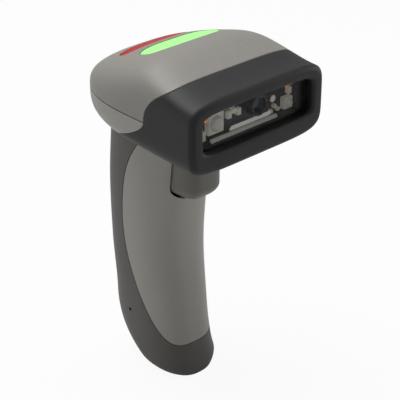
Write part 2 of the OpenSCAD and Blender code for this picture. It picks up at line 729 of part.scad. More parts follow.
// Point on the trigger at an angle from side to side and a height
function trigger_point(angle, z, inset) =
    let (
        k = sqrt(1 - pow(1 - clamp01((z - trigger_low - inset) / trigger_round), 2)),
        half = (trigger_w / 2 - inset) * k,
        front = trigger_front + inset,
        reach = trigger_back - (trigger_back - front) * pow(abs(cos(angle)), 0.55)
    )
    [half * signed_pow(sin(angle), 0.55), mix(trigger_pole, reach, k) - half_len, z];
function trigger_row(i, inset) = [for (j = [0 : trigger_cols])
    let (z = trigger_low + inset + (trigger_top - trigger_low - inset) * (1 - cos(90 * j / trigger_cols)))
    trigger_point(mix(90, -90, i / trigger_rows), z, inset)];

module trigger() color([0.34, 0.335, 0.31]) difference() {
    union() {
        skin([for (i = [0 : trigger_rows]) trigger_row(i, 0)],
            [for (i = [0 : trigger_rows]) trigger_row(i, trigger_wall)],
            function (i, j) j == 0 ? [0, 0] : [i, j]);
        bar_x(pin_depth, pin_z, hub_r, trigger_w - 0.2);
        block(0, trigger_front + 1, plunger_z - 2, [2.4, pin_depth - trigger_front, pin_z - plunger_z + 2]);
        bar_y(0, pin_depth - 2, plunger_z, nub_r, plunger_front - fit - pin_depth + 2);
        bar_y(0, pin_depth - 2, spring_z, spring_r + 0.8, 2.6);
    }
    bar_x(pin_depth, pin_z, pin_r + pin_clearance, trigger_w + 2);
}
module trigger_pin() color([0.8, 0.8, 0.78])
    bar_x(pin_depth, pin_z, pin_r, 2 * slot_half + 2 * ear_w - 1);

// Coil spring between the trigger and the switch board
spring_steps = 14;
spring_sides = 6;
spring_start = pin_depth + 0.6 + spring_wire;
spring_len = switch_board_depth - spring_start - spring_wire - fit;
function spring_point(t, a) =
    let (turn = 360 * spring_turns * t, r = spring_r + spring_wire * cos(a))
    [r * cos(turn), spring_start + spring_len * t + spring_wire * sin(a) - half_len,
        spring_z + r * sin(turn)];
module trigger_spring() color([0.78, 0.78, 0.75]) {
    rings = spring_turns * spring_steps;
    points = concat(
        [for (i = [0 : rings], k = [0 : spring_sides - 1]) spring_point(i / rings, 360 * k / spring_sides)]);
    sides = [for (i = [0 : rings - 1], k = [0 : spring_sides - 1])
        let (a = i * spring_sides + k, b = i * spring_sides + (k + 1) % spring_sides)
        each [[a, b, b + spring_sides], [a, b + spring_sides, a + spring_sides]]];
    last = rings * spring_sides;
    caps = [for (k = [1 : spring_sides - 2])
        each [[0, k + 1, k], [last, last + k, last + k + 1]]];
    polyhedron(points, concat(sides, caps));
}

module trigger_switch() color([0.1, 0.1, 0.1]) difference() {
    block(0, switch_front, plunger_z - switch_size[2] / 2, switch_size);
    bar_y(0, switch_front - past, plunger_z, plunger_bore, switch_size[1] + past - 0.6);
}
module switch_plunger() color([0.85, 0.85, 0.8])
    bar_y(0, plunger_front, plunger_z, plunger_r, plunger_len);
module switch_board() color([0.1, 0.32, 0.18])
    block(0, switch_board_depth, spring_z + 4 - switch_board[2], switch_board);

// Flat cable from the main board down to the switch board
module handle_flex() color([0.75, 0.45, 0.15]) ribbon(-6, 6,
    [for (i = [0 : 10]) let (t = i / 10)
        [switch_board_depth + board_t + 0.4 + 2.2 * sin(180 * t), mix(spring_z - 6, main_board_z - 0.4, t)]],
    [flex_t / 2, 0]);

// ---- Cable socket ----------------------------------------------------------------------------

module cable_socket() color([0.13, 0.13, 0.13]) difference() {
    block(0, socket_depth - socket_d / 2 - socket_wall, socket_z,
        [socket_w + 2 * socket_wall, socket_d + 2 * socket_wall, socket_len + socket_wall]);
    block(0, socket_depth - socket_d / 2, socket_z - past, [socket_w, socket_d, socket_len + past]);
}
contact_count = 10;
contact_pitch = 1.02;
module socket_contacts() color([0.85, 0.7, 0.3])
    for (i = [0 : contact_count - 1])
        block((i - (contact_count - 1) / 2) * contact_pitch, socket_depth - socket_d / 2 + 0.1, socket_z + 5,
            [0.4, 0.5, socket_len - 5.1]);

head_top_shell();
head_bottom_shell();
nose_boot();
window_frame();
window();
window_gasket();
handle_front_shell();
handle_back_grip();
trigger();
trigger_pin();
trigger_spring();
trigger_switch();
switch_plunger();
switch_board();
lens_carrier();
front_lens();
rear_lens();
indicator_board();
indicator_leds();
engine_chassis();
lens_barrel();
lens_glass();
sensor_board();
light_bar();
mirror_strip();
illumination_leds();
led_lenses();
aiming_leds();
engine_parts();
engine_screws();
main_board();
board_screws();
board_parts();
beeper();
flex_cable();
handle_flex();
cable_socket();
socket_contacts();
head_screws();
grip_screw();
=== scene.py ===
"""Handheld barcode scanner: finished surfaces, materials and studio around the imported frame.

Lengths inside the shape functions are millimetres. X is the width, the nose faces -Y and Z is up.
A distance called depth is measured backwards from the plane of the nose.
"""
import json
import math

import bmesh
import bpy
import numpy as np
from bpy.props import FloatProperty, FloatVectorProperty, PointerProperty
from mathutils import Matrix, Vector


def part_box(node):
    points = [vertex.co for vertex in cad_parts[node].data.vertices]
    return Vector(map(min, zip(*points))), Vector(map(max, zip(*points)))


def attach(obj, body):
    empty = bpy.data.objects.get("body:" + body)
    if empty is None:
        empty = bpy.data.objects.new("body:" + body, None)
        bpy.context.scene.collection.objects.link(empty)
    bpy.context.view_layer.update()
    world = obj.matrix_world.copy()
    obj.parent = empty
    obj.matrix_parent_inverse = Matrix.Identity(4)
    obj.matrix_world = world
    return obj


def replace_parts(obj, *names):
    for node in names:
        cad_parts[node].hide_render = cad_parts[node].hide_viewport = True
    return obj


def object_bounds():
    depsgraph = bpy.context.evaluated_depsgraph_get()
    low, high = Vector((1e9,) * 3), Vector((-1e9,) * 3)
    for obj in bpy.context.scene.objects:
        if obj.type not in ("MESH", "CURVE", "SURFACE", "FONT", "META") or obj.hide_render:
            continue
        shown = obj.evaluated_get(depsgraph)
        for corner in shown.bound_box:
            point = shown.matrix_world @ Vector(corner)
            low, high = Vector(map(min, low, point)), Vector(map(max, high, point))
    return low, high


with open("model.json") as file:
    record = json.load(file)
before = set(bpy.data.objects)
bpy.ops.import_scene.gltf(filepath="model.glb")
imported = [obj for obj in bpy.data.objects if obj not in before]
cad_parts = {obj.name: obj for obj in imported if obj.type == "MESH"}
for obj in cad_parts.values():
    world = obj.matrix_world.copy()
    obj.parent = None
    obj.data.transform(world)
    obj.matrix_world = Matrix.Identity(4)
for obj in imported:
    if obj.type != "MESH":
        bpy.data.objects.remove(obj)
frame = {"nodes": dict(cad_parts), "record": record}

bl_info = {
    "name": "Barcode Scanner",
    "version": (1, 0, 0),
    "blender": (4, 5, 0),
    "location": "View3D > Sidebar > Scanner",
    "description": "Builds the skins, finishes and studio of a handheld barcode scanner",
    "category": "Object",
}

MM = 0.001
CAD_LOW, CAD_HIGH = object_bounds()


def node_span(node):
    """Lowest and highest corner of a CAD node, in millimetres."""
    low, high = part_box(node)
    return np.array(low) / MM, np.array(high) / MM


HEAD_LEN = (CAD_HIGH[1] - CAD_LOW[1]) / MM
SEAM_Z = node_span("head_top_shell")[0][2]
NOSE_Y = CAD_LOW[1] / MM
PIN = (node_span("trigger_pin")[0] + node_span("trigger_pin")[1]) / 2
TRIGGER_LOW, TRIGGER_HIGH = node_span("trigger")
WINDOW_LOW, WINDOW_HIGH = node_span("window")


# ---- Settings ------------------------------------------------------------------------------------

def size(name, value, description):
    """A length in millimetres that a user can change."""
    return FloatProperty(name=name, default=float(value), min=0.0, description=description)


def tint(name, value, description):
    """A linear colour that a user can change."""
    return FloatVectorProperty(name=name, default=value, size=3, subtype="COLOR", min=0.0, max=1.0,
                               description=description)


class HeadSizes(bpy.types.PropertyGroup):
    width: size("Width", 74, "Width across the nose")
    nose_up: size("Nose height", 14.2, "Nose above the parting line")
    crown_up: size("Crown height", 22.3, "Crown above the parting line")
    down: size("Depth below", 16.5, "Head below the parting line")
    wall: size("Wall", 2, "Wall of the shells")
    seam_gap: size("Seam gap", 0.3, "Gap at the parting line")
    edge: size("Edge round", 0.32, "Rounding of the shells' edges")


class BootSizes(bpy.types.PropertyGroup):
    thickness: size("Thickness", 2, "Rubber thickness")
    top: size("Top length", 15.5, "Length along the top")
    side: size("Side length", 28, "Length along the sides")
    low: size("Corner length", 56, "Length at the lower corners")
    under: size("Under length", 24, "Length under the head")
    edge: size("Front edge", 2.5, "Rounding of the front edge")
    lip: size("Lip", 3, "Depth where the lip ends inside the opening")


class HandleSizes(bpy.types.PropertyGroup):
    base_half: size("Base half width", 16.5, "Half width at the base")
    top_half: size("Neck half width", 18.5, "Half width under the head")
    back: size("Back depth", 82.8, "Depth of the back at its middle")
    panel_low: size("Panel low", 15.4, "Lower end of the light front shell")
    panel_high: size("Panel high", 123, "Upper end of the light front shell")
    panel_wrap: size("Panel wrap", 23.5, "How far the front shell wraps back")
    panel_gap: size("Panel gap", 0.2, "Gap round the front shell")


class TriggerSizes(bpy.types.PropertyGroup):
    slot_gap: size("Slot gap", 0.45, "Gap round the trigger")
    wall: size("Wall", 1.6, "Wall of the trigger")
    round: size("Lower round", 6.5, "Rounding of the lower end")


class LensSizes(bpy.types.PropertyGroup):
    front_depth: size("Front lens depth", 46, "Depth of the front lens")
    rear_depth: size("Rear lens depth", 59.5, "Depth of the rear lens")
    front_d: size("Front lens length", 11, "Front lens from front to back")
    rear_d: size("Rear lens length", 7, "Rear lens from front to back")
    width: size("Lens width", 40, "Width of both lenses")
    gap: size("Lens gap", 0.35, "Gap round each lens")


class Finishes(bpy.types.PropertyGroup):
    # The crown's tint is darker than the light shell's: painted shade for the head's dark sides
    crown: tint("Crown", (0.255, 0.243, 0.222), "Upper head shell")
    light: tint("Light shell", (0.33, 0.315, 0.285), "Lower head shell and front of the handle")
    dark: tint("Dark grip", (0.082, 0.077, 0.068), "Back of the handle")
    boot: tint("Boot", (0.021, 0.0205, 0.021), "Rubber boot")
    trigger: tint("Trigger", (0.135, 0.13, 0.115), "Trigger")
    green: tint("Green lens", (0.3, 0.76, 0.22), "Front indicator lens")
    red: tint("Red lens", (0.3, 0.003, 0.004), "Rear indicator lens")


class StageSettings(bpy.types.PropertyGroup):
    azimuth: FloatProperty(name="Azimuth", default=-43.5, description="Camera round the object, degrees")
    elevation: FloatProperty(name="Elevation", default=27.95, description="Camera above the floor, degrees")
    distance: FloatProperty(name="Distance", default=0.551, unit="LENGTH", description="Camera to its aim")
    lens: FloatProperty(name="Focal length", default=116.4, description="Focal length on a 36 mm sensor")
    aim: FloatVectorProperty(name="Aim", default=(0.0003, -0.00685, 0.0881), size=3, subtype="XYZ",
                             description="Point that the camera looks at")


GROUPS = {"head": HeadSizes, "boot": BootSizes, "handle": HandleSizes, "trigger": TriggerSizes,
          "lenses": LensSizes, "finish": Finishes, "stage": StageSettings}


class ScannerSettings(bpy.types.PropertyGroup):
    head: PointerProperty(type=HeadSizes)
    boot: PointerProperty(type=BootSizes)
    handle: PointerProperty(type=HandleSizes)
    trigger: PointerProperty(type=TriggerSizes)
    lenses: PointerProperty(type=LensSizes)
    finish: PointerProperty(type=Finishes)
    stage: PointerProperty(type=StageSettings)


def settings():
    """The scene's scanner settings."""
    return bpy.context.scene.scanner


# ---- Shape functions -----------------------------------------------------------------------------

def ease(t):
    """Smooth step: 3t^2 - 2t^3 between 0 and 1."""
    c = np.clip(t, 0, 1)
    return c * c * (3 - 2 * c)


def mix(a, b, t):
    """Straight blend from a to b."""
    return a + (b - a) * t


def signed_power(v, p):
    """|v| to the power p, with v's sign."""
    return np.sign(v) * np.abs(v) ** p


def round_end(t, p):
    """1 up to t = 0, then a superelliptic fall to 0 at t = 1."""
    return np.maximum(0, 1 - np.clip(t, 0, 1) ** p) ** (1 / p)


def curve(points, u):
    """Cubic Hermite through [position, value] pairs, with slopes taken across each point's neighbours."""
    x, y = np.array(points, float).T
    ahead = np.minimum(np.arange(len(x)) + 1, len(x) - 1)
    behind = np.maximum(np.arange(len(x)) - 1, 0)
    slope = (y[ahead] - y[behind]) / (x[ahead] - x[behind])
    i = np.clip(np.searchsorted(x, u, side="right") - 1, 0, len(x) - 2)
    h = x[i + 1] - x[i]
    t = np.clip((u - x[i]) / h, 0, 1)
    bend = slope[i] * h * t * (1 - t) ** 2 - slope[i + 1] * h * t * t * (1 - t)
    return mix(y[i], y[i + 1], ease(t)) + bend


def edge_drop(distance, radius):
    """How far a quarter-round edge of that radius lies below the surface, at a distance from the edge."""
    reach = 1 - np.clip(distance / radius, 0, 1)
    return radius * (1 - np.sqrt(1 - reach ** 2))


# Squareness of the head's section at the nose, below at the rear and above at the rear
NOSE_POWER, REAR_POWER, CROWN_POWER = 5.8, 4.1, 2.7
# Depth where the sides, the top and the underside start to round off, and how squarely they do
SIDE_START, SIDE_POWER = 37, 2.5
TOP_START, TOP_POWER = 28, 1.6
UNDER_START, UNDER_POWER = 35, 2.15
# Share of its width that the head loses towards the rear, and depths where crown and section are full
HEAD_TAPER = 0.04
CROWN_DEPTH, SECTION_DEPTH = 38, 60


def head_section(depth, inset=0.0):
    """Half width, height above and depth below the parting line, and the powers below and above it."""
    s = settings().head
    back = HEAD_LEN - inset

    def fall(start, power):
        return round_end((depth - start) / (back - start), power)

    half = (s.width / 2 - inset) * (1 - HEAD_TAPER * depth / HEAD_LEN) * fall(SIDE_START, SIDE_POWER)
    up = (mix(s.nose_up, s.crown_up, ease(depth / CROWN_DEPTH)) - inset) * fall(TOP_START, TOP_POWER)
    low = (s.down - inset) * fall(UNDER_START, UNDER_POWER)
    rearward = ease(depth / SECTION_DEPTH)
    return half, up, low, mix(NOSE_POWER, REAR_POWER, rearward), mix(NOSE_POWER, CROWN_POWER, rearward)


def head_point(angle, depth, inset=0.0):
    """Superellipse about the parting line at a depth: x = half |cos|^(2/n), z = height |sin|^(2/n)."""
    half, up, low, below, above = head_section(depth, inset)
    c, s = np.cos(np.radians(angle)), np.sin(np.radians(angle))
    power = np.where(s >= 0, above, below)
    x = half * signed_power(c, 2 / power)
    z = SEAM_Z + np.where(s >= 0, up, low) * signed_power(s, 2 / power)
    return np.stack(np.broadcast_arrays(x, NOSE_Y + depth, z), -1)


def crown_height(x, depth, inset=0.0):
    """Height of the head's top above a place: the superellipse solved for z."""
    half, up, _, _, power = head_section(depth, inset)
    return SEAM_Z + up * np.maximum(0, 1 - np.abs(x / half) ** power) ** (1 / power)


# Cosines where the boot's underside gives way to its corner and the corner to its side, and the sine there
BOOT_UNDER_COS, BOOT_CORNER_COS, BOOT_CORNER_SIN = 0.18, 0.55, 0.8352


def boot_end(angle):
    """Depth where the boot ends: short on top, longer down the sides, longest at the lower corners."""
    b = settings().boot
    s, c = np.sin(np.radians(angle)), np.abs(np.cos(np.radians(angle)))
    top = mix(b.top, b.side, (1 - s) ** 2)
    side = mix(b.side, b.low, np.clip(-s / BOOT_CORNER_SIN, 0, 1) ** 0.7)
    under = mix(b.under, b.low, ease((c - BOOT_UNDER_COS) / (BOOT_CORNER_COS - BOOT_UNDER_COS)))
    return np.where(s >= 0, top, np.where(c > BOOT_CORNER_COS, side, under))


def section_angles(first, last, count):
    """Angles whose points are spread evenly in direction round the section, dense beside the seam."""
    t = np.concatenate([[0, 0.0006, 0.0013, 0.0022, 0.0035, 0.006], np.linspace(0.01, 0.99, count),
                        1 - np.array([0.006, 0.0035, 0.0022, 0.0013, 0.0006, 0])])
    direction = np.radians(mix(0, 180, t))
    angle = np.degrees(np.arctan2(np.abs(np.sin(direction)) ** 2.35,
                                  signed_power(np.cos(direction), 2.35)))
    return first + angle * (last - first) / 180


def handle_lines():
    """Back, front and half-width lines of the handle, as [height, value] pairs."""
    h = settings().handle
    neck = SEAM_Z - settings().head.down
    back = [[0, h.back + 4.5], [30, h.back - 2], [60, h.back - 0.5], [90, h.back], [neck, h.back - 2.6],
            [SEAM_Z, h.back - 2.6]]
    front = [[0, 34.5], [30, 38.8], [60, 41.5], [90, 39.3], [neck, 36], [SEAM_Z, 36]]
    half = [[0, h.base_half], [60, (h.base_half + h.top_half) / 2 + 0.3], [neck, h.top_half],
            [SEAM_Z, h.top_half]]
    return back, front, half


# Depth of the point that the base is drawn in to, and squareness of the handle's plan
POLE_DEPTH = 33.3
HANDLE_POWER = 2.5
# Quarter rounds at the base, and how far below the foot they start
BACK_ROUND, FRONT_ROUND, SIDE_ROUND = 34, 13, 7
BASE_CUT = 1
# How much further the front shell wraps back towards its upper end
PANEL_LEAN = 8


def handle_point(angle, z, inset=0.0):
    """Superellipse plan between the front and back lines, rounded in to a pole at the base."""
    back_line, front_line, half_line = handle_lines()
    rise = z + BASE_CUT - inset

    def rounding(radius):
        return np.sqrt(1 - (1 - np.clip(rise / radius, 0, 1)) ** 2)

    back = mix(POLE_DEPTH, curve(back_line, z), rounding(BACK_ROUND)) - inset
    front = mix(POLE_DEPTH, curve(front_line, z), rounding(FRONT_ROUND)) + inset
    half = (curve(half_line, z) - inset) * rounding(SIDE_ROUND)
    c, s = np.cos(np.radians(angle)), np.sin(np.radians(angle))
    y = (back + front) / 2 - (back - front) / 2 * signed_power(c, 2 / HANDLE_POWER) + NOSE_Y
    x = -half * signed_power(s, 2 / HANDLE_POWER)
    return np.stack(np.broadcast_arrays(x, y, z), -1)


def panel_angle(z, gap=0.0):
    """Angle on the handle where the light front shell ends: a long oval edge, drawn in by the gap."""
    h = settings().handle
    middle, half = (h.panel_low + h.panel_high) / 2, (h.panel_high - h.panel_low) / 2
    t = (z - middle) / (half - gap)
    rim = (h.panel_wrap + PANEL_LEAN * t - gap) * np.sqrt(np.maximum(0, 1 - t * t))
    front, back = handle_point(0, z)[..., 1], handle_point(180, z)[..., 1]
    c = 1 - 2 * rim / (back - front)
    angle = np.degrees(np.arccos(np.clip(signed_power(c, HANDLE_POWER / 2), -1, 1)))
    return np.where(np.abs(t) >= 1, 0, angle)


# Rim of glass that sits behind the opening's edge, and squareness of the opening
GLASS_SEAT = 1.2
WINDOW_POWER = 7


def window_edge(angle, grow=0.0):
    """Squared oval of the window opening, grown by an offset, as x and z from its middle."""
    half_w = (WINDOW_HIGH[0] - WINDOW_LOW[0]) / 2 - GLASS_SEAT + grow
    half_h = (WINDOW_HIGH[2] - WINDOW_LOW[2]) / 2 - GLASS_SEAT + grow
    c, s = np.cos(np.radians(angle)), np.sin(np.radians(angle))
    return half_w * signed_power(c, 2 / WINDOW_POWER), half_h * signed_power(s, 2 / WINDOW_POWER)


# ---- Meshes --------------------------------------------------------------------------------------

# Edges that bend more than this many degrees stay sharp
SHARP_ANGLE = 38


def quads_of(rows, cols, first=0, flip=False, wrap=False):
    """Quads of a grid of points stored row by row. wrap joins the last row to the first."""
    i = np.arange(rows if wrap else rows - 1)[:, None]
    j = np.arange(cols - 1)[None, :]
    a, b = i * cols + j, (i + 1) % rows * cols + j
    quads = np.stack([a, b, b + 1, a + 1], -1).reshape(-1, 4) + first
    return quads[:, ::-1] if flip else quads


def walls_of(rows, cols, count):
    """Quads that join the borders of an outer grid to those of the inner grid stored count points later."""
    i, j = np.arange(rows - 1), np.arange(cols - 1)
    left, right = i * cols, i * cols + cols - 1
    low, high = j, (rows - 1) * cols + j
    return np.concatenate([
        np.stack([left + cols, left, left + count, left + cols + count], -1),
        np.stack([right, right + cols, right + cols + count, right + count], -1),
        np.stack([low, low + 1, low + 1 + count, low + count], -1),
        np.stack([high + 1, high, high + count, high + 1 + count], -1),
    ])


def make_object(name, points, faces, body="housing"):
    """Object from points in millimetres, with doubled points merged and edges over an angle kept sharp."""
    mesh = bpy.data.meshes.new(name)
    mesh.from_pydata((np.asarray(points).reshape(-1, 3) * MM).tolist(), [], np.asarray(faces).tolist())
    bm = bmesh.new()
    bm.from_mesh(mesh)
    bmesh.ops.remove_doubles(bm, verts=bm.verts, dist=2e-6)
    bmesh.ops.dissolve_degenerate(bm, dist=1e-7, edges=bm.edges)
    bm.to_mesh(mesh)
    bm.free()
    mesh.shade_smooth()
    mesh.set_sharp_from_angle(angle=math.radians(SHARP_ANGLE))
    piece = bpy.data.objects.new(name, mesh)
    bpy.context.scene.collection.objects.link(piece)
    if body:
        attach(piece, body)
    return piece


def make_skin(name, outer, inner, body="housing"):
    """Closed shell between two grids of points of one size."""
    rows, cols = outer.shape[:2]
    count = rows * cols
    points = np.concatenate([outer.reshape(-1, 3), inner.reshape(-1, 3)])
    faces = np.concatenate([quads_of(rows, cols), quads_of(rows, cols, count, flip=True),
                            walls_of(rows, cols, count)])
    return make_object(name, points, faces, body)


def make_ring(name, loops, body="housing"):
    """Closed ring from a grid whose rows are loops round its section."""
    rows, cols = loops.shape[:2]
    closed = np.concatenate([loops, loops[:, :1]], 1)
    return make_object(name, closed, quads_of(rows, cols + 1, wrap=True), body)


def prism(outline, direction, start, end):
    """Points and faces of a straight prism: an outline of points swept along a direction."""
    outline, direction = np.asarray(outline, float), np.asarray(direction, float)
    count = len(outline)
    points = np.concatenate([outline + direction * start, outline + direction * end])
    i = np.arange(count)
    sides = np.stack([i, (i + 1) % count, (i + 1) % count + count, i + count], -1).tolist()
    return points, sides + [list(range(count))[::-1], list(range(count, 2 * count))]


def cut(piece, *cutters):
    """Cuts prisms out of a piece, with the exact solver where the fast one leaves the piece uncut."""
    for points, faces in cutters:
        tool = make_tool(points, faces)
        uncut = (len(piece.data.vertices), len(piece.data.polygons))
        opening = piece.modifiers.new("opening", "BOOLEAN")
        opening.operation = "DIFFERENCE"
        opening.object = tool
        for solver in ("MANIFOLD", "EXACT"):
            opening.solver = solver
            bpy.context.view_layer.update()
            result = bpy.data.meshes.new_from_object(
                piece.evaluated_get(bpy.context.evaluated_depsgraph_get()))
            if (len(result.vertices), len(result.polygons)) not in ((0, 0), uncut):
                break
        else:
            raise RuntimeError(f"{piece.name} was not cut")
        piece.modifiers.clear()
        piece.data = result
        bpy.data.objects.remove(tool)
    piece.data.shade_smooth()
    piece.data.set_sharp_from_angle(angle=math.radians(SHARP_ANGLE))
    return piece


def make_tool(points, faces):
    """Temporary closed solid used for a cut, with its faces turned outwards."""
    mesh = bpy.data.meshes.new("cutter")
    mesh.from_pydata((np.asarray(points) * MM).tolist(), [], [list(map(int, f)) for f in faces])
    bm = bmesh.new()
    bm.from_mesh(mesh)
    bmesh.ops.recalc_face_normals(bm, faces=bm.faces)
    bm.to_mesh(mesh)
    bm.free()
    tool = bpy.data.objects.new("cutter", mesh)
    bpy.context.scene.collection.objects.link(tool)
    return tool


def round_outline(centre, radius, axis, steps=48):
    """Circle of points round an axis, X, Y or Z."""
    a = np.linspace(0, 2 * np.pi, steps, endpoint=False)
    ring = np.zeros((steps, 3))
    across = [k for k in range(3) if k != axis]
    ring[:, across[0]] = radius * np.cos(a)
    ring[:, across[1]] = radius * np.sin(a)
    return ring + np.asarray(centre, float)


def lathe(centre, axis, profile, steps=48):
    """Closed surface turned about an axis, from a profile of [distance along it, radius] pairs."""
    rings = [round_outline(np.asarray(centre) + np.eye(3)[axis] * along, radius, axis, steps)
             for along, radius in profile]
    grid = np.stack(rings, 1)
    return grid, quads_of(steps, len(profile), wrap=True)


# ---- Material groups -----------------------------------------------------------------------------

def new_group(name, inputs, outputs):
    """Shader node group with float or colour sockets. Returns it with its input and output nodes."""
    group = bpy.data.node_groups.new(name, "ShaderNodeTree")
    for label, value in inputs.items():
        kind = "NodeSocketColor" if isinstance(value, tuple) else "NodeSocketFloat"
        group.interface.new_socket(name=label, in_out="INPUT", socket_type=kind).default_value = value
    for label, kind in outputs.items():
        group.interface.new_socket(name=label, in_out="OUTPUT", socket_type=kind)
    return group, group.nodes.new("NodeGroupInput"), group.nodes.new("NodeGroupOutput")


def add_node(tree, kind, **values):
    """Node with its settings. A value named after an input, or inN for the Nth input, is set there."""
    node = tree.nodes.new(kind)
    for key, value in values.items():
        if key.startswith("in") and key[2:].isdigit():
            node.inputs[int(key[2:])].default_value = value
        elif hasattr(node, key):
            setattr(node, key, value)
        else:
            node.inputs[key.replace("_", " ")].default_value = value
    return node


def group_grain():
    """Moulded grain: fine pebbles and a faint mottle change a colour, its roughness and its height."""
    group, start, end = new_group(
        "Moulded grain",
        {"Color": (0.5, 0.5, 0.5, 1.0), "Grain size": 1800.0, "Mottle": 0.06, "Roughness": 0.5},
        {"Color": "NodeSocketColor", "Roughness": "NodeSocketFloat", "Height": "NodeSocketFloat"})
    link = group.links.new
    place = add_node(group, "ShaderNodeTexCoord")
    grain = add_node(group, "ShaderNodeTexNoise", Detail=3.0, Roughness=0.6)
    pits = add_node(group, "ShaderNodeTexVoronoi")
    cloud = add_node(group, "ShaderNodeTexNoise", Scale=42.0, Detail=4.0)
    for texture in (grain, pits, cloud):
        link(place.outputs["Object"], texture.inputs["Vector"])
    link(start.outputs["Grain size"], grain.inputs["Scale"])
    link(start.outputs["Grain size"], pits.inputs["Scale"])
    height = add_node(group, "ShaderNodeMath", operation="MULTIPLY_ADD", in1=0.6)
    link(pits.outputs["Distance"], height.inputs[0])
    link(grain.outputs["Fac"], height.inputs[2])
    link(height.outputs[0], end.inputs["Height"])
    sway = add_node(group, "ShaderNodeMath", operation="SUBTRACT", in1=0.5)
    link(cloud.outputs["Fac"], sway.inputs[0])
    speck = add_node(group, "ShaderNodeMath", operation="SUBTRACT", in1=0.5)
    link(grain.outputs["Fac"], speck.inputs[0])
    both = add_node(group, "ShaderNodeMath", operation="ADD")
    link(sway.outputs[0], both.inputs[0])
    link(speck.outputs[0], both.inputs[1])
    level = add_node(group, "ShaderNodeMath", operation="MULTIPLY_ADD", in2=1.0)
    link(both.outputs[0], level.inputs[0])
    link(start.outputs["Mottle"], level.inputs[1])
    shade = add_node(group, "ShaderNodeVectorMath", operation="SCALE")
    link(start.outputs["Color"], shade.inputs[0])
    link(level.outputs[0], shade.inputs["Scale"])
    link(shade.outputs[0], end.inputs["Color"])
    rough = add_node(group, "ShaderNodeMath", operation="MULTIPLY_ADD", in1=0.18)
    link(sway.outputs[0], rough.inputs[0])
    link(start.outputs["Roughness"], rough.inputs[2])
    link(rough.outputs[0], end.inputs["Roughness"])
    return group


def group_wear():
    """Edge wear: convex edges turn a little paler and smoother, broken up by noise."""
    group, start, end = new_group(
        "Edge wear",
        {"Color": (0.5, 0.5, 0.5, 1.0), "Worn color": (0.7, 0.7, 0.7, 1.0), "Amount": 0.3, "Roughness": 0.5},
        {"Color": "NodeSocketColor", "Roughness": "NodeSocketFloat"})
    link = group.links.new
    shape = add_node(group, "ShaderNodeNewGeometry")
    place = add_node(group, "ShaderNodeTexCoord")
    patch = add_node(group, "ShaderNodeTexNoise", Scale=260.0, Detail=5.0)
    link(place.outputs["Object"], patch.inputs["Vector"])
    edge = add_node(group, "ShaderNodeMapRange", in1=0.52, in2=0.62)
    link(shape.outputs["Pointiness"], edge.inputs[0])
    broken = add_node(group, "ShaderNodeMath", operation="MULTIPLY")
    link(edge.outputs[0], broken.inputs[0])
    link(patch.outputs["Fac"], broken.inputs[1])
    mask = add_node(group, "ShaderNodeMath", operation="MULTIPLY", use_clamp=True)
    link(broken.outputs[0], mask.inputs[0])
    link(start.outputs["Amount"], mask.inputs[1])
    colour = add_node(group, "ShaderNodeMix", data_type="RGBA")
    link(mask.outputs[0], colour.inputs[0])
    link(start.outputs["Color"], colour.inputs[6])
    link(start.outputs["Worn color"], colour.inputs[7])
    link(colour.outputs[2], end.inputs["Color"])
    rough = add_node(group, "ShaderNodeMath", operation="MULTIPLY_ADD", in1=-0.15)
    link(mask.outputs[0], rough.inputs[0])
    link(start.outputs["Roughness"], rough.inputs[2])
    link(rough.outputs[0], end.inputs["Roughness"])
    return group


def group_dust():
    """Dust: faces that look up gather thin pale specks."""
    group, start, end = new_group(
        "Settled dust",
        {"Color": (0.5, 0.5, 0.5, 1.0), "Amount": 0.05},
        {"Color": "NodeSocketColor"})
    link = group.links.new
    shape = add_node(group, "ShaderNodeNewGeometry")
    axes = add_node(group, "ShaderNodeSeparateXYZ")
    link(shape.outputs["Normal"], axes.inputs[0])
    upward = add_node(group, "ShaderNodeMapRange", in1=0.2, in2=1.0)
    link(axes.outputs["Z"], upward.inputs[0])
    place = add_node(group, "ShaderNodeTexCoord")
    specks = add_node(group, "ShaderNodeTexNoise", Scale=900.0, Detail=6.0, Roughness=0.75)
    link(place.outputs["Object"], specks.inputs["Vector"])
    some = add_node(group, "ShaderNodeMapRange", in1=0.55, in2=0.8)
    link(specks.outputs["Fac"], some.inputs[0])
    mask = add_node(group, "ShaderNodeMath", operation="MULTIPLY")
    link(upward.outputs[0], mask.inputs[0])
    link(some.outputs[0], mask.inputs[1])
    amount = add_node(group, "ShaderNodeMath", operation="MULTIPLY", use_clamp=True)
    link(mask.outputs[0], amount.inputs[0])
    link(start.outputs["Amount"], amount.inputs[1])
    colour = add_node(group, "ShaderNodeMix", data_type="RGBA", in7=(0.6, 0.58, 0.54, 1.0))
    link(amount.outputs[0], colour.inputs[0])
    link(start.outputs["Color"], colour.inputs[6])
    link(colour.outputs[2], end.inputs["Color"])
    return group


GROUP_MAKERS = {"Moulded grain": group_grain, "Edge wear": group_wear, "Settled dust": group_dust}


def place_group(tree, name, **values):
    """Places a shared group in a material, and makes it the first time."""
    node = tree.nodes.new("ShaderNodeGroup")
    node.node_tree = bpy.data.node_groups.get(name) or GROUP_MAKERS[name]()
    for key, value in values.items():
        node.inputs[key.replace("_", " ")].default_value = value
    return node


def rgba(colour, level=1.0):
    """Colour with an alpha of 1, scaled."""
    return (colour[0] * level, colour[1] * level, colour[2] * level, 1.0)


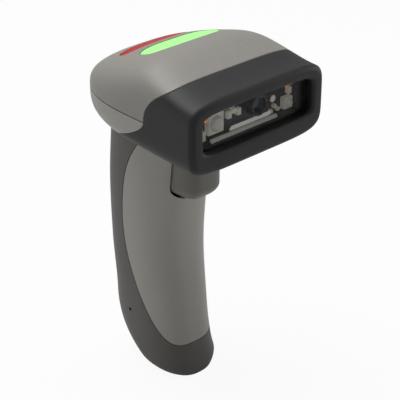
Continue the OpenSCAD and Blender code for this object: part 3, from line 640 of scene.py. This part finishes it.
def finish_material(name, colour, roughness, grain=1800.0, mottle=0.08, relief=0.25, wear=0.25, dust=0.3,
                    specular=0.5, **shader):
    """Moulded or painted surface: grain, edge wear and dust in front of one Principled shader."""
    material = bpy.data.materials.new(name)
    material.use_nodes = True
    tree = material.node_tree
    surface = tree.nodes["Principled BSDF"]
    surface.inputs["Specular IOR Level"].default_value = specular
    for key, value in shader.items():
        surface.inputs[key.replace("_", " ")].default_value = value
    skin = place_group(tree, "Moulded grain", Color=rgba(colour), Grain_size=grain, Mottle=mottle,
                       Roughness=roughness)
    worn = place_group(tree, "Edge wear", Worn_color=rgba(colour, 1.5), Amount=wear)
    dusty = place_group(tree, "Settled dust", Amount=dust)
    bump = add_node(tree, "ShaderNodeBump", Strength=relief, Distance=0.0001)
    link = tree.links.new
    link(skin.outputs["Color"], worn.inputs["Color"])
    link(skin.outputs["Roughness"], worn.inputs["Roughness"])
    link(worn.outputs["Color"], dusty.inputs["Color"])
    link(dusty.outputs["Color"], surface.inputs["Base Color"])
    link(worn.outputs["Roughness"], surface.inputs["Roughness"])
    link(skin.outputs["Height"], bump.inputs["Height"])
    link(bump.outputs["Normal"], surface.inputs["Normal"])
    return material


def clear_material(name, colour, alpha, roughness=0.05):
    """Thin clear glass: a faint tint with a polished surface and fine handling smears in its roughness."""
    material = bpy.data.materials.new(name)
    material.use_nodes = True
    tree = material.node_tree
    surface = tree.nodes["Principled BSDF"]
    surface.inputs["Base Color"].default_value = rgba(colour)
    surface.inputs["Alpha"].default_value = alpha
    place = add_node(tree, "ShaderNodeTexCoord")
    smear = add_node(tree, "ShaderNodeTexNoise", Scale=60.0, Detail=4.0, Distortion=1.5)
    rough = add_node(tree, "ShaderNodeMapRange", in1=0.4, in2=0.7, in3=roughness, in4=roughness + 0.12)
    tree.links.new(place.outputs["Object"], smear.inputs["Vector"])
    tree.links.new(smear.outputs["Fac"], rough.inputs[0])
    tree.links.new(rough.outputs[0], surface.inputs["Roughness"])
    return material


def lens_material(name, colour, glow):
    """Translucent lens: fine grain, a soft painted glow from within and a polished coat."""
    material = finish_material(name, colour, 0.4, grain=2600.0, mottle=0.05, relief=0.08, wear=0.0, dust=0.0,
                               specular=0.1,
                               Emission_Strength=glow, Coat_Weight=0.04, Coat_Roughness=0.2,
                               Subsurface_Weight=0.15, Subsurface_Scale=0.002)
    tree = material.node_tree
    # Painted glow: the lens gives off its own colour though no lamp lights it
    tree.nodes["Principled BSDF"].inputs["Emission Color"].default_value = rgba(colour)
    return material


def board_material(name):
    """Solder mask over copper traces: straight tracks from a brick pattern, slightly paler."""
    material = finish_material(name, (0.012, 0.085, 0.035), 0.35, grain=3000.0, mottle=0.1, relief=0.1,
                               wear=0.1, dust=0.1, Coat_Weight=0.4)
    tree = material.node_tree
    tracks = add_node(tree, "ShaderNodeTexBrick", Color1=(0.02, 0.12, 0.05, 1), Color2=(0.014, 0.09, 0.04, 1),
                      Mortar=(0.03, 0.2, 0.08, 1), Scale=160.0, Mortar_Size=0.04)
    place = add_node(tree, "ShaderNodeTexCoord")
    tree.links.new(place.outputs["Object"], tracks.inputs["Vector"])
    for node in tree.nodes:
        if node.type == "GROUP" and node.node_tree.name == "Moulded grain":
            tree.links.new(tracks.outputs["Color"], node.inputs["Color"])
    return material


def materials():
    """All materials by name, made once."""
    if "Top shell" in bpy.data.materials:
        return {m.name: m for m in bpy.data.materials}
    f = settings().finish
    made = [
        # The top shell takes the darker crown tint, painted shade for the head's dark sides
        finish_material("Top shell", f.crown, 0.5, grain=1500.0, mottle=0.07, relief=0.35),
        finish_material("Light shell", f.light, 0.5, grain=1500.0, mottle=0.07, relief=0.35),
        finish_material("Dark grip", f.dark, 0.52, grain=1400.0, mottle=0.1, relief=0.4, wear=0.3, dust=0.06),
        finish_material("Boot rubber", f.boot, 0.5, grain=1900.0, mottle=0.12, relief=0.3, wear=0.3,
                        dust=0.03, specular=0.25),
        finish_material("Trigger plastic", f.trigger, 0.48, grain=1500.0, mottle=0.07, relief=0.3),
        finish_material("Black bezel", (0.009, 0.009, 0.01), 0.45, grain=2200.0, relief=0.15, dust=0.1),
        finish_material("Engine black", (0.012, 0.012, 0.013), 0.4, grain=2600.0, relief=0.12, dust=0.05),
        finish_material("Seal rubber", (0.018, 0.018, 0.019), 0.65, grain=2000.0),
        finish_material("Zinc steel", (0.56, 0.55, 0.52), 0.3, grain=2800.0, mottle=0.12, relief=0.08,
                        wear=0.3, dust=0.05, Metallic=1.0),
        # Painted light: the mirror strip gives off a faint glow of its own in place of the light it would
        # reflect
        finish_material("Mirror metal", (0.88, 0.87, 0.82), 0.25, grain=2600.0, mottle=0.04, relief=0.03,
                        wear=0.0, dust=0.0, Metallic=0.6, Emission_Color=(0.8, 0.79, 0.74, 1.0),
                        Emission_Strength=0.35),
        finish_material("Chip package", (0.02, 0.02, 0.021), 0.55, grain=3000.0, relief=0.2),
        # Painted light: the white LEDs and engine parts glow faintly though no lamp inside is on
        finish_material("White resin", (0.62, 0.6, 0.52), 0.4, grain=2400.0, relief=0.1,
                        Emission_Color=(0.62, 0.6, 0.5, 1.0), Emission_Strength=0.16),
        # Painted glint: the amber aiming LEDs glow though they are off
        finish_material("Amber resin", (0.75, 0.27, 0.03), 0.25, grain=2400.0, relief=0.06, Coat_Weight=0.5,
                        Emission_Color=(0.8, 0.27, 0.02, 1.0), Emission_Strength=0.4),
        # Painted light: the clear optics glow faintly so they read bright behind the window
        finish_material("Clear optic", (0.42, 0.43, 0.4), 0.12, grain=2600.0, mottle=0.05, relief=0.05,
                        wear=0.0, dust=0.05, Transmission_Weight=0.35, Coat_Weight=0.6,
                        Emission_Color=(0.42, 0.43, 0.39, 1.0), Emission_Strength=0.2),
        finish_material("Lens coating", (0.05, 0.07, 0.12), 0.06, grain=2600.0, mottle=0.1, relief=0.02,
                        wear=0.0, dust=0.02, Coat_Weight=1.0),
        finish_material("Polyimide film", (0.42, 0.16, 0.03), 0.3, grain=2000.0, relief=0.1),
        finish_material("Smooth white", (0.66, 0.65, 0.61), 0.35, grain=2200.0, relief=0.1),
        finish_material("Contact gold", (0.85, 0.62, 0.25), 0.22, grain=2600.0, relief=0.05, Metallic=1.0),
        board_material("Circuit board"),
        # The last number is each lens's painted glow
        lens_material("Green lens", f.green, 0.5),
        lens_material("Red lens", f.red, 0.7),
        clear_material("Window glass", (0.02, 0.022, 0.025), 0.16),
    ]
    return {m.name: m for m in made}


def paint(piece, name):
    """Puts one material on a piece, in every slot it has."""
    material = materials()[name]
    if not piece.data.materials:
        piece.data.materials.append(material)
    for i in range(len(piece.data.materials)):
        piece.data.materials[i] = material
    return piece


# ---- Pieces --------------------------------------------------------------------------------------

def head_shell(name, first, last, ceiling):
    """Half of the head from the boot's end to the rear tip, with a wall and rounded edges."""
    h = settings().head
    angle = section_angles(first, last, 190)[:, None]
    start = boot_end(angle) + 0.1
    t = np.concatenate([[0, 0.0006, 0.0014, 0.0024, 0.004, 0.007], np.linspace(0.012, 1, 96)])[None, :]
    depth = mix(start, HEAD_LEN, np.sin(np.pi / 2 * t))
    flat = head_point(angle, depth)
    drop = edge_drop(np.abs(flat[..., 2] - SEAM_Z), h.edge) + edge_drop(depth - start, h.edge)
    drop = np.where(depth > HEAD_LEN - 0.6, 0, drop)
    outer = head_point(angle, depth, drop)
    inner = head_point(angle, mix(start, HEAD_LEN - h.wall, np.sin(np.pi / 2 * t)), h.wall)
    for grid in (outer, inner):
        grid[..., 2] = np.minimum(grid[..., 2], ceiling)
    return make_skin(name, outer, inner)


def lens_outline(depth, length, grow, steps=96):
    """Squared oval round a lens, as x and y."""
    a = np.linspace(0, 2 * np.pi, steps, endpoint=False)
    w = settings().lenses.width
    x = (w / 2 + grow) * signed_power(np.cos(a), 0.5)
    y = (length / 2 + grow) * signed_power(np.sin(a), 0.7) + depth + NOSE_Y
    return np.stack([x, y, np.zeros(steps)], -1)


def make_lens(name, depth, length):
    """Lens that follows the crown: rings shrunk from its oval outline, with a rounded rim."""
    outline = lens_outline(depth, length, 0)
    centre = np.array([0, depth + NOSE_Y, 0])
    shrink = np.concatenate([[1, 0.999, 0.996, 0.99, 0.98], np.linspace(0.96, 0, 24)])
    flat = centre + (outline - centre)[:, None, :] * shrink[None, :, None]
    rim = np.linalg.norm(flat - outline[:, None, :], axis=-1)
    top = crown_height(flat[..., 0], flat[..., 1] - NOSE_Y) - 0.1 - edge_drop(rim, 0.45)
    upper, lower = flat.copy(), flat.copy()
    upper[..., 2] = top
    lower[..., 2] = crown_height(flat[..., 0], flat[..., 1] - NOSE_Y) - 2.2
    rows, cols = upper.shape[:2]
    count = rows * cols
    i = np.arange(rows)
    side = np.stack([(i + 1) % rows * cols, i * cols, i * cols + count, (i + 1) % rows * cols + count], -1)
    faces = np.concatenate([quads_of(rows, cols, wrap=True), quads_of(rows, cols, count, True, True), side])
    points = np.concatenate([upper.reshape(-1, 3), lower.reshape(-1, 3)])
    return make_object(name, points, faces, "housing")


class SCANNER_OT_head(bpy.types.Operator):
    """Makes the two head shells and cuts the lens openings and the neck hole"""
    bl_idname = "scanner.head"
    bl_label = "Head shells"

    def execute(self, context):
        s = settings()
        top = head_shell("head_top", 0, 180, SEAM_Z + 100)
        lens = s.lenses
        cut(top, *[prism(lens_outline(depth, length, lens.gap), (0, 0, 1), SEAM_Z + 4, SEAM_Z + 28)
                   for depth, length in ((lens.front_depth, lens.front_d), (lens.rear_depth, lens.rear_d))])
        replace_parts(paint(top, "Top shell"), "head_top_shell")
        bottom = head_shell("head_bottom", 180, 360, SEAM_Z - s.head.seam_gap)
        neck = SEAM_Z - s.head.down
        around = handle_point(np.linspace(0, 360, 96, endpoint=False), neck, -0.1)
        around[:, 2] = 0
        low, high = node_span("head_screws")
        screw_y, screw_head_r = (low[1] + high[1]) / 2, 2.6
        seats = [prism(round_outline((x, screw_y, 0), SCREW_SEAT_R, 2), (0, 0, 1), neck - 1, low[2] + 2)
                 for x in (low[0] + screw_head_r, high[0] - screw_head_r)]
        cut(bottom, prism(around, (0, 0, 1), neck - 1, neck + 13), prism(trigger_plan(), (0, 0, 1), neck - 1,
                                                                       neck + 5), *seats)
        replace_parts(paint(bottom, "Light shell"), "head_bottom_shell")
        return {"FINISHED"}


# Squareness of the trigger's plan, and how far it reaches behind the middle of its pin
TRIGGER_SQUARENESS = 0.55
PAST_PIN = 0.6
# Radius of the recesses that the screws' heads sit in
SCREW_SEAT_R = 2.7


def trigger_plan():
    """Outline of the trigger's slot in the head's floor."""
    t = settings().trigger
    a = np.radians(np.linspace(90, -90, 49))
    half = (TRIGGER_HIGH[0] - TRIGGER_LOW[0]) / 2 + t.slot_gap
    back, front = PIN[1] - PAST_PIN, TRIGGER_LOW[1] - 0.9
    y = back - (back - front) * np.abs(np.cos(a)) ** TRIGGER_SQUARENESS
    return np.stack([half * signed_power(np.sin(a), TRIGGER_SQUARENESS), y, np.zeros(len(a))], -1)


class SCANNER_OT_boot(bpy.types.Operator):
    """Makes the rubber boot with its rounded front edge and the lip round the window"""
    bl_idname = "scanner.boot"
    bl_label = "Nose boot"

    def execute(self, context):
        b = settings().boot
        upper = section_angles(0, 180, 150)[:-1]
        angle = np.concatenate([upper, 180 + upper])[:, None]
        end = boot_end(angle)
        run = np.concatenate([[0, 0.0015, 0.004, 0.008, 0.015], np.linspace(0.03, 1, 60)])[None, :]
        depth = mix(end, b.edge, run)
        outside = head_point(angle, depth, edge_drop(end - depth, 0.4))
        turn = np.radians(np.linspace(9, 90, 10))[None, :]
        front = head_point(angle, b.edge * (1 - np.sin(turn)), b.edge * (1 - np.cos(turn)))
        fall = np.radians(np.linspace(0, 90, 8))[None, :]
        x, z = window_edge(angle, 1.6 * (1 - np.sin(fall)) )
        middle = (WINDOW_LOW[2] + WINDOW_HIGH[2]) / 2
        lip_depth = 1.6 * (1 - np.cos(fall))
        lip = np.stack(np.broadcast_arrays(x, NOSE_Y + lip_depth, middle + z), -1)
        x, z = window_edge(angle, np.zeros((1, 1)))
        throat = np.stack(np.broadcast_arrays(x, NOSE_Y + b.lip, middle + z), -1)
        inside = head_point(angle, mix(b.lip, end, np.linspace(0, 1, 24)[None, :]), b.thickness)
        boot = make_ring("boot", np.concatenate([outside, front, lip, throat, inside], 1))
        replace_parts(paint(boot, "Boot rubber"), "nose_boot")
        return {"FINISHED"}


def trigger_opening():
    """Prism of the trigger's slot through the handle's front: a U seen from the front."""
    t = settings().trigger
    half = (TRIGGER_HIGH[0] - TRIGGER_LOW[0]) / 2 + t.slot_gap
    low = TRIGGER_LOW[2] + t.round - 0.94
    a = np.radians(np.linspace(180, 360, 49))
    arc = np.stack([half * np.cos(a), np.zeros(49), low + (t.round + t.slot_gap) * np.sin(a)], -1)
    top = [[half, 0, SEAM_Z - 4], [-half, 0, SEAM_Z - 4]]
    return prism(np.concatenate([arc, top]), (0, 1, 0), NOSE_Y + 20, NOSE_Y + 48.2)


PANEL_STEPS = 150


def panel_heights(gap=0.0):
    """Heights along the front shell's edge, closest together near its two ends."""
    h = settings().handle
    middle, half = (h.panel_low + h.panel_high) / 2, (h.panel_high - h.panel_low) / 2
    return middle - (half - gap) * np.cos(np.pi * np.linspace(0, 1, PANEL_STEPS))


class SCANNER_OT_handle(bpy.types.Operator):
    """Makes the light front shell and the dark back grip, with their slot and holes"""
    bl_idname = "scanner.handle"
    bl_label = "Handle"

    def execute(self, context):
        s = settings()
        wall, edge = s.head.wall, s.head.edge
        z = panel_heights(s.handle.panel_gap)[None, :]
        limit = panel_angle(z, s.handle.panel_gap)
        across = -np.cos(np.pi * np.linspace(0, 1, 110))[:, None]
        flat = handle_point(across * limit, z)
        gap = np.minimum(np.linalg.norm(flat - flat[:1], axis=-1), np.linalg.norm(flat - flat[-1:], axis=-1))
        outer = handle_point(across * limit, z, edge_drop(gap, edge))
        front = make_skin("handle_front", outer, handle_point(across * limit, z, wall))
        cut(front, trigger_opening())
        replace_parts(paint(front, "Light shell"), "handle_front_shell")

        h = s.handle
        foot = mix(0, h.panel_low, np.linspace(0, 1, 40) ** 1.7)[:-1]
        top = node_span("handle_back_grip")[1][2]
        z = np.concatenate([foot, panel_heights(), np.linspace(h.panel_high, top, 14)[1:]])[None, :]
        limit = panel_angle(z)
        round_the_back = (1 - np.cos(np.pi * np.linspace(0, 1, 150)))[:, None] / 2
        angle = mix(limit, 360 - limit, round_the_back)
        flat = handle_point(angle, z)
        gap = np.minimum(np.linalg.norm(flat - flat[:1], axis=-1), np.linalg.norm(flat - flat[-1:], axis=-1))
        gap = np.where(limit > 0, gap, edge)
        outer = handle_point(angle, z, edge_drop(gap, edge) + edge_drop(z + 0.02, 0.5) * 0.6)
        outer[..., 2] = z
        inner_z = np.maximum(z, wall)
        inner = handle_point(angle, inner_z, wall)

        def with_pole(grid, height):
            pole = np.array([0, (grid[0, 0, 1] + grid[75, 0, 1]) / 2, height])
            return np.concatenate([np.broadcast_to(pole, (len(grid), 1, 3)), grid], 1)

        back = make_skin("handle_back", with_pole(outer, 0), with_pole(inner, wall))
        low, high = node_span("cable_socket")
        mouth = np.array([[low[0] + 0.9, low[1] + 0.9, 0], [high[0] - 0.9, low[1] + 0.9, 0],
                          [high[0] - 0.9, high[1] - 0.9, 0], [low[0] + 0.9, high[1] - 0.9, 0]])
        hole = frame_mount("cable_release_hole")
        screw_low, screw_high = node_span("grip_screw")
        screw = ((screw_low + screw_high) / 2) * (1, 0, 1)
        cut(back, trigger_opening(), prism(mouth, (0, 0, 1), -1, wall + 1),
            prism(round_outline(hole * (0, 1, 1), 0.8, 0), (1, 0, 0), hole[0] + 4, hole[0] - 6),
            prism(round_outline(screw, SCREW_SEAT_R, 1), (0, 1, 0), screw_high[1] - 2, screw_high[1] + 20))
        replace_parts(paint(back, "Dark grip"), "handle_back_grip")
        return {"FINISHED"}


def frame_mount(name):
    """Place of a mount in millimetres."""
    mount = next(m for m in frame["record"]["mounts"] if m["name"] == name)
    return np.array(mount["pos_m"]) / MM


class SCANNER_OT_trigger(bpy.types.Operator):
    """Makes the trigger: a hollow finger piece with a round lower end, its hub and its switch nub"""
    bl_idname = "scanner.trigger"
    bl_label = "Trigger"

    def execute(self, context):
        t = settings().trigger
        low, top = TRIGGER_LOW[2], TRIGGER_HIGH[2]
        half_w = (TRIGGER_HIGH[0] - TRIGGER_LOW[0]) / 2
        back, front, pole = PIN[1] - PAST_PIN, TRIGGER_LOW[1], NOSE_Y + 38

        def grid(inset):
            a = np.radians(90 * np.cos(np.pi * np.linspace(0, 1, 110)))[:, None]
            z = low + inset + (top - low - inset) * (1 - np.cos(np.pi / 2 * np.linspace(0, 1, 90)))[None, :]
            k = np.sqrt(1 - (1 - np.clip((z - low - inset) / t.round, 0, 1)) ** 2)
            reach = back - (back - front - inset) * np.abs(np.cos(a)) ** TRIGGER_SQUARENESS
            x = (half_w - inset) * k * signed_power(np.sin(a), TRIGGER_SQUARENESS)
            return np.stack(np.broadcast_arrays(x, mix(pole, reach, k), z), -1)

        lever = make_skin("trigger_lever", grid(0.0), grid(t.wall), "trigger")
        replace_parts(paint(lever, "Trigger plastic"), "trigger")
        hub, faces = lathe(PIN, 0, [[-half_w + 0.1, 1.56], [-half_w + 0.1, 3.3], [half_w - 0.1, 3.3],
                                    [half_w - 0.1, 1.56], [-half_w + 0.1, 1.56]])
        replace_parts(paint(make_object("trigger_hub", hub, faces, "trigger"),
                          "Trigger plastic"), "trigger")
        plunger = node_span("switch_plunger")
        nub_z = (plunger[0][2] + plunger[1][2]) / 2
        tip = plunger[0][1] - 0.1 - PIN[1]
        nub, faces = lathe((0, PIN[1], nub_z), 1, [[-2, 0.001], [-2, 1.3], [tip - 0.4, 1.3], [tip, 0.9],
                                                   [tip, 0.001]])
        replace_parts(paint(make_object("trigger_nub", nub, faces, "trigger"),
                          "Trigger plastic"), "trigger")
        return {"FINISHED"}


class SCANNER_OT_lenses(bpy.types.Operator):
    """Makes the green and red indicator lenses that follow the crown"""
    bl_idname = "scanner.lenses"
    bl_label = "Indicator lenses"

    def execute(self, context):
        lens = settings().lenses
        front = make_lens("green_lens", lens.front_depth, lens.front_d)
        rear = make_lens("red_lens", lens.rear_depth, lens.rear_d)
        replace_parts(paint(front, "Green lens"), "front_lens")
        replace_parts(paint(rear, "Red lens"), "rear_lens")
        return {"FINISHED"}


NODE_FINISHES = {
    "window_frame": "Black bezel", "window": "Window glass", "window_gasket": "Seal rubber",
    "trigger_pin": "Zinc steel", "trigger_spring": "Zinc steel", "trigger_switch": "Chip package",
    "switch_plunger": "Smooth white", "switch_board": "Circuit board", "lens_carrier": "Black bezel",
    "indicator_board": "Circuit board", "indicator_leds": "White resin", "engine_chassis": "Engine black",
    "lens_barrel": "Engine black", "lens_glass": "Lens coating", "sensor_board": "Circuit board",
    "light_bar": "Clear optic", "mirror_strip": "Mirror metal", "illumination_leds": "White resin",
    "led_lenses": "Clear optic", "aiming_leds": "Amber resin", "engine_parts": "White resin",
    "engine_screws": "Zinc steel", "main_board": "Circuit board", "board_screws": "Zinc steel",
    "board_parts": "Chip package", "beeper": "Engine black", "flex_cable": "Polyimide film",
    "handle_flex": "Polyimide film", "cable_socket": "Black bezel", "socket_contacts": "Contact gold",
    "head_screws": "Zinc steel", "grip_screw": "Zinc steel",
}


class SCANNER_OT_inner(bpy.types.Operator):
    """Gives every CAD node that shows its material"""
    bl_idname = "scanner.inner"
    bl_label = "Inner parts"

    def execute(self, context):
        for node, finish in NODE_FINISHES.items():
            paint(frame["nodes"][node], finish)
        return {"FINISHED"}


def softbox(name, place, aim, size_x, size_y, watts, colour=(1, 1, 1)):
    """Rectangular soft light that faces a point."""
    data = bpy.data.lights.new(name, "AREA")
    data.shape = "RECTANGLE"
    data.size, data.size_y = size_x, size_y
    data.energy = watts
    data.color = colour
    light = bpy.data.objects.new(name, data)
    light.location = place
    light.rotation_euler = (Vector(aim) - Vector(place)).to_track_quat("-Z", "Y").to_euler()
    bpy.context.scene.collection.objects.link(light)
    return light


class SCANNER_OT_stage(bpy.types.Operator):
    """Places the camera, the soft lights and the pale floor"""
    bl_idname = "scanner.stage"
    bl_label = "Stage"

    def execute(self, context):
        scene, s = bpy.context.scene, settings().stage
        a, e = math.radians(-s.azimuth), math.radians(s.elevation)
        forward = Vector((math.sin(a) * math.cos(e), math.cos(a) * math.cos(e), -math.sin(e)))
        camera = bpy.data.objects.new("Camera", bpy.data.cameras.new("Camera"))
        camera.data.lens = s.lens
        camera.data.clip_start, camera.data.clip_end = 0.01, 20
        camera.location = Vector(s.aim) - forward * s.distance
        camera.rotation_euler = forward.to_track_quat("-Z", "Y").to_euler()
        scene.collection.objects.link(camera)
        scene.camera = camera
        scene.view_settings.view_transform = "Standard"
        self.lights(scene)
        self.floor(scene)
        return {"FINISHED"}

    def lights(self, scene):
        middle = (0, 0, 0.1)
        softbox("Overhead", (-0.05, 0.3, 1.1), middle, 0.9, 0.9, 13)
        softbox("Back left", (-0.7, 0.45, 0.08), middle, 0.4, 0.4, 0.7)
        softbox("Front right", (0.75, -0.3, 0.2), middle, 0.35, 0.6, 1.9)
        softbox("Front fill", (-0.35, -0.9, 0.3), middle, 0.6, 0.5, 0.25)
        world = bpy.data.worlds.new("Studio")
        world.use_nodes = True
        world.node_tree.nodes["Background"].inputs["Color"].default_value = (1, 1, 1, 1)
        shiny = add_node(world.node_tree, "ShaderNodeLightPath")
        level = add_node(world.node_tree, "ShaderNodeMath", operation="MULTIPLY_ADD", in1=0.4, in2=0.05)
        world.node_tree.links.new(shiny.outputs["Is Glossy Ray"], level.inputs[0])
        seen = add_node(world.node_tree, "ShaderNodeMath", operation="ADD")
        world.node_tree.links.new(level.outputs[0], seen.inputs[0])
        world.node_tree.links.new(shiny.outputs["Is Camera Ray"], seen.inputs[1])
        world.node_tree.links.new(seen.outputs[0], world.node_tree.nodes["Background"].inputs["Strength"])
        scene.world = world

    def floor(self, scene):
        material = bpy.data.materials.new("Pale floor")
        material.use_nodes = True
        tree = material.node_tree
        surface = tree.nodes["Principled BSDF"]
        surface.inputs["Base Color"].default_value = (0.8, 0.8, 0.8, 1)
        surface.inputs["Roughness"].default_value = 0.9
        surface.inputs["Specular IOR Level"].default_value = 0.1
        glow = add_node(tree, "ShaderNodeEmission", Color=(1, 1, 1, 1), Strength=1.0)
        eye = add_node(tree, "ShaderNodeLightPath")
        share = add_node(tree, "ShaderNodeMath", operation="MULTIPLY_ADD", in1=0.74, in2=0.19)
        blend = add_node(tree, "ShaderNodeMixShader")
        tree.links.new(eye.outputs["Is Camera Ray"], share.inputs[0])
        tree.links.new(share.outputs[0], blend.inputs[0])
        tree.links.new(surface.outputs[0], blend.inputs[1])
        tree.links.new(glow.outputs[0], blend.inputs[2])
        tree.links.new(blend.outputs[0], tree.nodes["Material Output"].inputs["Surface"])
        mesh = bpy.data.meshes.new("floor")
        half = 3.0
        mesh.from_pydata([(-half, -half, 0), (half, -half, 0), (half, half, 0), (-half, half, 0)], [],
                         [(0, 1, 2, 3)])
        floor = bpy.data.objects.new("floor", mesh)
        floor.location.z = -0.0002
        mesh.materials.append(material)
        scene.collection.objects.link(floor)


OPERATORS = (SCANNER_OT_stage, SCANNER_OT_head, SCANNER_OT_boot, SCANNER_OT_handle, SCANNER_OT_trigger,
             SCANNER_OT_lenses, SCANNER_OT_inner)


class SCANNER_PT_panel(bpy.types.Panel):
    """Lists the scanner's settings and the operators that build it"""
    bl_idname = "SCANNER_PT_panel"
    bl_label = "Scanner"
    bl_space_type = "VIEW_3D"
    bl_region_type = "UI"
    bl_category = "Scanner"

    def draw(self, context):
        layout = self.layout
        for operator in OPERATORS:
            layout.operator(operator.bl_idname)
        for name, group in GROUPS.items():
            box = layout.box()
            box.label(text=name.capitalize())
            for prop in group.__annotations__:
                box.prop(getattr(context.scene.scanner, name), prop)


CLASSES = (*GROUPS.values(), ScannerSettings, *OPERATORS, SCANNER_PT_panel)


def register():
    for item in CLASSES:
        bpy.utils.register_class(item)
    bpy.types.Scene.scanner = PointerProperty(type=ScannerSettings)


def unregister():
    del bpy.types.Scene.scanner
    for item in reversed(CLASSES):
        bpy.utils.unregister_class(item)


def main():
    """Builds the whole scanner."""
    register()
    for operator in OPERATORS:
        group, name = operator.bl_idname.split(".")
        getattr(getattr(bpy.ops, group), name)()


if __name__ == "__main__":
    main()
